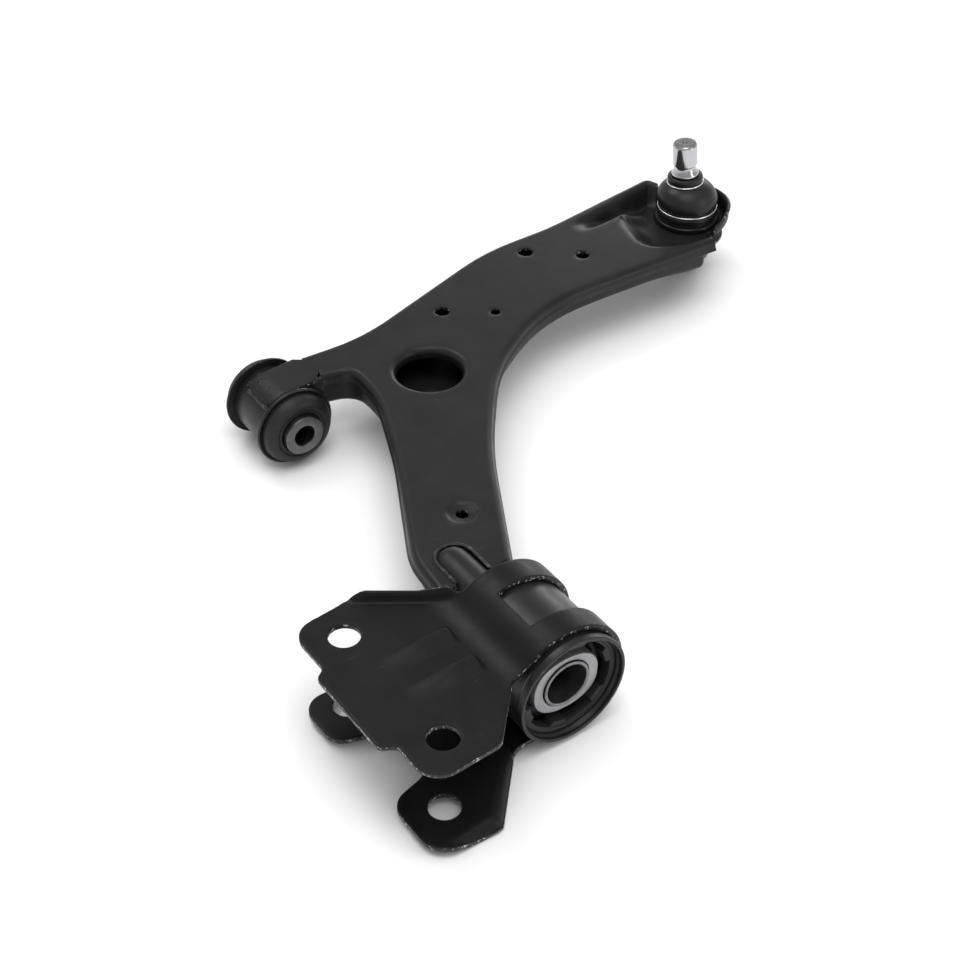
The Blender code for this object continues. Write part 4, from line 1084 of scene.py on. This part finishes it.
def plate_point(x, u, level, lift):
    """Outer face of a bracket plate at developed position (x, u), raised by lift."""
    side = 1.0 if level > 0.0 else -1.0
    r, y0, a0 = plate_path(level)
    bend = r * (a0 - math.pi / 2.0)
    if u <= y0:
        p = (x, u, abs(level) + lift)
    elif u <= y0 + bend:
        t = (u - y0) / r
        p = (x, y0 + r * math.sin(t), abs(level) + r * (1.0 - math.cos(t)) + lift)
    else:
        t = a0 - (u - y0 - bend) / STRAP_R
        p = (x, STRAP_R * math.cos(t), STRAP_R * math.sin(t))
    return (p[0], p[1], REAR_Z + side * p[2])


def strap_u(angle, level):
    """Developed position of an angle on the strap circle."""
    r, y0, a0 = plate_path(level)
    return y0 + r * (a0 - math.pi / 2.0) + STRAP_R * (a0 - math.radians(angle))


def beside(line, gaps, step=2.0):
    """Points in rows beside a line, each row at one distance from it."""
    a, b = np.array(line[0]), np.array(line[1])
    length = np.hypot(*(b - a))
    way = (b - a) / length
    side = np.array((-way[1], way[0]))
    return [tuple(a + way * t + side * d) for d in gaps for t in np.arange(0.0, length, step)]


def plate(name, corners, level, window, lift, node, rails):
    """Bracket plate: flat outline, then two straps that wrap the can either side of a window."""
    end, win = strap_u(STRAP_END, level), strap_u(window, level)
    rows = np.arange(-36.0, end, 2.6)

    def edge(x, lo, hi, rising):
        us = [u for u in rows if lo + 0.6 < u < hi - 0.6]
        return [(x, u) for u in (us if rising else us[::-1])]

    near, far = STRAP_X
    flat = rounded(corners, 3.0, 9.0)
    loop = [tuple(q) for q in flat]
    loop += edge(near[0], flat[-1][1], end, True) + [(near[0], end), (near[1], end)]
    loop += edge(near[1], win + 2.0, end, False)
    loop += [tuple(q) for q in rounded([(near[1], win + 2.0, 0), (near[1], win, 1.8), (far[0], win, 1.8),
                                        (far[0], win + 2.0, 0)], 3.0, 20.0)]
    loop += edge(far[0], win + 2.0, end, True) + [(far[0], end), (far[1], end)]
    loop += edge(far[1], flat[0][1], end, False)
    holes = [ring(x, y, BOLT_R, 48) for x, y in zip(BOLT_X, BOLT_Y)]
    v2, tri = fill(np.array(loop), holes, 2.4, extra=rails, clear=1.0)
    outer = [plate_point(x, u, level, lift(x, u)) for x, u in v2]
    up = 1.0 if level > 0.0 else -1.0
    sheet(name, outer, tri, PLATE, up, (PLATE_COAT_SHADED, PLATE_EDGE), "rear_bracket", (node,), 0.5)


def edge_gap(x, y, a, b):
    """Distance from the line a-b, positive on the plate's side."""
    dx, dy = b[0] - a[0], b[1] - a[1]
    return (dx * (y - a[1]) - dy * (x - a[0])) / math.hypot(dx, dy)


def upper_plate():
    corners = [(-72.0, -20.0, 0), (-109.0, -73.0, 6), (-105.0, -113.0, 13), (-71.5, -113.0, 6),
               (-67.0, -119.5, 4), (-7.5, -119.5, 4), (-2.5, -110.8, 4), (29.0, -110.8, 15),
               (26.0, -66.0, 8), (-7.0, -36.0, 5), (-7.0, -29.0, 0)]

    foot, head = RIB_Y[0] - 18.0, RIB_Y[1]

    def lift(x, u):
        """Bent-up flange on the far side and two ribs, steep at the head and fading to the foot."""
        if u >= -22.0:
            return 0.0
        d = edge_gap(x, u, *FLANGE_LINE)
        z = FLANGE_H * smooth(4.2, 1.4, d) * smooth(-76.0, -66.0, u) * smooth(-22.0, -30.0, u)
        for rx in RIB_X:
            side = smooth(6.4, 4.4, rx - x) if x < rx else smooth(9.5, 1.5, x - rx)
            z += RIB_H * side * smooth(3.6, 0.4, max(u - head, 0.0)) * smooth(foot, RIB_Y[0] + 14.0, u)
        return z

    rails = beside(FLANGE_LINE, (1.2, 1.9, 2.6, 3.3, 4.0, 4.8))
    for rx in RIB_X:
        rails += beside(((rx, head - 1.0), (rx, foot)), (-4.2, -4.9, -5.6, -6.3, -7.0))
        rails += beside(((rx - 2.4, head), (rx + 9.0, head)), (0.0, 0.9, 1.8, 2.7, 3.6, 4.5), 1.6)
    plate("bracket_upper", corners, PLATE_TOP - REAR_Z, WINDOW_TOP, lift, "bracket_upper_plate", rails)


def lower_plate():
    corners = [(-72.0, -19.0, 0), (-101.0, -72.0, 10), (-102.0, -113.0, 13), (-66.0, -113.0, 12),
               (-58.0, -84.0, 14), (-20.0, -80.0, 12), (-12.0, -110.8, 13), (32.0, -110.8, 15),
               (31.0, -68.0, 5), (-7.0, -34.0, 6), (-7.0, -19.0, 0)]

    def lift(x, u):
        """Skirt bent down along the near side."""
        if u > -26.0 or u < -108.0:
            return 0.0
        d = min(edge_gap(x, u, *SKIRT_LINE), SKIRT_X - x)
        return SKIRT_H * smooth(6.0, 1.6, d) * smooth(-28.0, -38.0, u) * smooth(-106.0, -80.0, u)

    rails = beside(SKIRT_LINE, (1.2, 2.4, 3.6, 4.8, 6.0))
    rails += beside(((SKIRT_X, -106.0), (SKIRT_X, -68.0)), (1.6, 2.7, 3.8, 4.9, 6.0))
    plate("bracket_lower", corners, PLATE_LOW - REAR_Z, WINDOW_LOW, lift, "bracket_lower_plate", rails)


def strap_seams():
    for k, tag in enumerate(("near", "far")):
        xs = np.linspace(STRAP_X[k][0] - 1.4, STRAP_X[k][1] + 1.4, 12)
        pts = [(x, STRAP_R - 1.9, REAR_Z) for x in xs]
        weld("strap_seam_" + tag, pts, [(0.0, 1.0, 0.0)] * 12, 2.9, "rear_bracket", ("strap_weld_" + tag,),
             pitch=2.4, flat=0.9, seed=20 + k)


# ---- ball joint ---------------------------------------------------------------
BASE = (BALL[0], BALL[1], 0.0)


def lean(p):
    """Carry a point of the upright joint over to the stud's rest lean."""
    q = Vector(tuple(p)) - Vector(tuple(BALL))
    turn = Vector(UP).rotation_difference(STUD_AXIS)
    return tuple(Vector(tuple(BALL)) + turn @ q)


def ball_housing():
    prof = [(10.2, -3.2), (11.4, -2.0), (11.6, 2.6), (15.4, 5.2), (18.4, 9.2), (20.0, 14.0), (20.5, 19.0),
            (20.5, 37.3), (23.6, 37.3), (23.6, 40.2), (22.8, 41.0), (20.6, 41.2), (19.8, 42.6), (19.8, 48.5),
            (18.3, 48.5), (15.4, 41.0), (15.4, 38.6), (17.2, 37.4), (17.2, 12.0), (14.4, 9.0), (7.5, 9.0),
            (7.5, 1.5), (9.0, 1.5), (9.0, -3.2)]
    turning("joint_housing", ease(prof, 0.6), BASE, UP, HOUSING_COAT, "arm", ("ball_housing",))
    cover = [(0.0, -1.3), (8.0, -1.3), (8.7, -0.8), (8.7, 1.2), (0.0, 1.2)]
    turning("joint_cover", cover, BASE, UP, HOUSING_COAT, "arm", ("housing_cover",), n=72, close=False)
    r = BALL_R + 0.6
    bowl = [(14.2, 9.3), (16.9, 12.3), (16.9, BALL[2] + 6.2)]
    bowl += [(r * math.sin(a), BALL[2] + r * math.cos(a)) for a in np.radians(np.arange(63.0, 165.0, 6.0))]
    bowl.append((bowl[-1][0], 9.3))
    turning("joint_seat", bowl, BASE, UP, SEAT_PLASTIC, "arm", ("ball_seat",), n=72)


def ball_stud():
    """Ball, tapered shank, collar and grooved pin, with a centre drilling in the end face."""
    prof = [(0.0, BALL[2] - BALL_R)]
    turns = np.radians(np.arange(170.0, 38.0, -6.0))
    prof += [(BALL_R * math.sin(a), BALL[2] + BALL_R * math.cos(a)) for a in turns]
    shank = [(7.6, 40.6), (7.8, 47.0), (9.2, 60.0), (9.3, 73.0), (9.9, 73.4), (9.9, 74.8), (8.4, 77.0),
             (7.5, 79.0), (7.5, 80.4), (8.9, 81.6), (8.9, 96.4), (7.6, STUD_TOP), (2.4, STUD_TOP),
             (2.0, 97.6), (0.9, 96.2)]
    steps = 3
    soft = ease(prof[-1:] + shank + [(0.0, 95.8)], 0.4, steps)[steps + 1:]
    v, f = revolve(prof + soft, BASE, UP, close=False)
    obj = piece("joint_stud", [lean(p) for p in v], f, (STUD, STUD_END), "stud", ("ball_stud",), sharp=28.0)
    top = Vector(row(BALL)) + STUD_AXIS * ((STUD_TOP - BALL[2] - 0.35) * MM)
    for poly in obj.data.polygons:
        if (poly.center - top).dot(STUD_AXIS) > 0.0 or (poly.center - top).length < 2.3 * MM:
            poly.material_index = 1


BOOT_OUT = [(20.9, 42.3), (21.6, 43.2), (21.8, 45.0), (21.6, 46.7), (20.6, 47.8), (20.5, 48.6), (20.7, 49.5),
            (21.6, 51.5), (21.9, 54.5), (21.3, 58.0), (19.6, 61.4), (16.8, 64.2), (13.6, 66.0), (12.1, 66.8),
            (11.9, 67.4), (12.2, 68.1), (12.7, 69.0), (12.8, 70.8), (12.4, 72.2), (11.4, 72.9)]
BOOT_IN = [(10.0, 72.7), (9.8, 71.6), (9.9, 67.4), (15.5, 62.5), (18.7, 58.4), (20.0, 54.0), (19.7, 50.6),
           (20.1, 48.9), (20.1, 43.0)]
BELLY, LIP_Z, NECK_Z = 58.0, 49.5, 66.4


def boot_part(name, outer, inner, start, end, nodes=()):
    """One skin of the dust boot between two heights, upright at the bottom and leaned over to the stud's rest
    lean at the top.
    """
    v, f = revolve(outer + inner, BASE, UP)
    out = []
    for p in v:
        w = smooth(50.0, 66.0, p[2])
        q = lean(p)
        out.append(tuple(p[i] + (q[i] - p[i]) * w for i in range(3)))
    obj = piece(name, out, f, BOOT_RUBBER, None, sharp=60.0)
    row((BALL[0], BALL[1], start))
    row((BALL[0], BALL[1], end))
    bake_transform(obj)
    if nodes:
        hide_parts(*nodes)


def dust_boot():
    outer, inner = curve(BOOT_OUT, 4), curve(BOOT_IN, 4)
    low_out = [p for p in outer if p[1] < BELLY]
    high_out = [p for p in outer if p[1] >= BELLY]
    high_in = [p for p in inner if p[1] >= BELLY - 0.2]
    low_in = [p for p in inner if p[1] < BELLY - 0.2]
    seam_out, seam_in = high_out[0], high_in[-1]
    boot_part("boot_lower_skin", low_out + [seam_out, seam_in], low_in, LIP_Z, BELLY,
              ("dust_boot",))
    boot_part("boot_upper_skin", high_out, high_in, BELLY, NECK_Z)


def clip(name, r, z, tilted, body, node):
    """Wire ring round the boot."""
    prof = [(r + WIRE_R * math.cos(t), z + WIRE_R * math.sin(t)) for t in np.radians(np.arange(0, 360, 24))]
    v, f = revolve(prof, BASE, UP)
    piece(name, [lean(p) for p in v] if tilted else v, f, CLIP, body, (node,), sharp=70.0)


upper_shell()
lower_shell()
eye_welds()
pin_welds()
front_eye()
front_half("near", EYE_NEAR, 1.0, FRONT_NEAR)
front_half("far", EYE_FAR, -1.0, FRONT_FAR)
front_sleeve()
rear_pin()
rear_core()
rear_rubber()
stop_ring()
rear_can()
upper_plate()
lower_plate()
strap_seams()
ball_housing()
ball_stud()
dust_boot()
clip("clip_lower", 21.2, 48.6, False, "arm", "boot_lower_clip")
clip("clip_upper", 12.6, 67.4, True, "boot_top", "boot_upper_clip")


# ---- studio -------------------------------------------------------------------
FLOOR_HALF, FLOOR_TONE, FLOOR_GAP = 60.0, 0.86, 0.0002
LENS, SENSOR = 72.19, 36.0
CAMERA_PLACE = (0.74417, -0.58910, 0.7835)
CAMERA_TILT, CAMERA_TURN = 50.6, 55.28


def floor():
    mesh = bpy.data.meshes.new("studio_floor")
    h = FLOOR_HALF
    mesh.from_pydata([(-h, -h, 0), (h, -h, 0), (h, h, 0), (-h, h, 0)], [], [(0, 1, 2, 3)])
    mat, _, bsdf, _ = begin("studio_floor_white", specular=0.15)
    bsdf.inputs["Base Color"].default_value = (FLOOR_TONE, FLOOR_TONE, FLOOR_TONE, 1.0)
    bsdf.inputs["Roughness"].default_value = 0.7
    mesh.materials.append(mat)
    obj = bpy.data.objects.new("studio_floor", mesh)
    scene.collection.objects.link(obj)
    obj.location = (0.0, 0.0, cad_low.z - FLOOR_GAP)


def softbox(name, place, size, power, mirrored=True):
    """Rectangular lamp that looks at the middle of the part."""
    light = bpy.data.lights.new(name, "AREA")
    light.shape = "RECTANGLE"
    light.size, light.size_y = size
    light.energy = power
    obj = bpy.data.objects.new(name, light)
    scene.collection.objects.link(obj)
    obj.location = place
    obj.rotation_euler = (-Vector(place)).to_track_quat("-Z", "Y").to_euler()
    obj.visible_glossy = mirrored


def sky(strength):
    """Studio walls: white at the horizon, darker half way up, white ceiling."""
    world = bpy.data.worlds.new("studio")
    scene.world = world
    world.use_nodes = True
    t = Nodes(world.node_tree)
    out = t.add("ShaderNodeOutputWorld")
    back = t.add("ShaderNodeBackground", Strength=strength)
    t.link(back, "Background", out, "Surface")
    split = t.link(t.add("ShaderNodeTexCoord"), "Generated", t.add("ShaderNodeSeparateXYZ"), "Vector")
    ramp = t.add("ShaderNodeValToRGB")
    t.link(split, "Z", ramp, "Fac")
    stops = ramp.color_ramp.elements
    stops[0].position, stops[1].position = 0.10, 0.95
    stops.new(0.42)
    stops.new(0.70)
    for stop, tone in zip(stops, (1.0, 0.42, 0.50, 0.95)):
        stop.color = (tone, tone, tone, 1.0)
    t.link(ramp, "Color", back, "Color")


def camera():
    data = bpy.data.cameras.new("camera")
    data.lens, data.sensor_width = LENS, SENSOR
    data.clip_start, data.clip_end = 0.01, 2.0 * FLOOR_HALF
    obj = bpy.data.objects.new("camera", data)
    scene.collection.objects.link(obj)
    obj.location = CAMERA_PLACE
    obj.rotation_euler = (math.radians(CAMERA_TILT), 0.0, math.radians(CAMERA_TURN))
    scene.camera = obj


floor()
sky(1.0)
softbox("ceiling", (0.2, 0.1, 2.6), (3.2, 3.2), 34.0, mirrored=False)
softbox("overhead", (0.5, -0.35, 2.4), (1.3, 1.3), 17.0)
softbox("behind", (-1.5, 1.8, 0.5), (1.4, 0.5), 7.0)
softbox("key", (-1.5, -0.3, 2.2), (0.9, 0.9), 12.0)
softbox("side", (1.3, 0.9, 0.7), (0.3, 1.0), 4.0)
camera()
scene.view_settings.view_transform = "Standard"
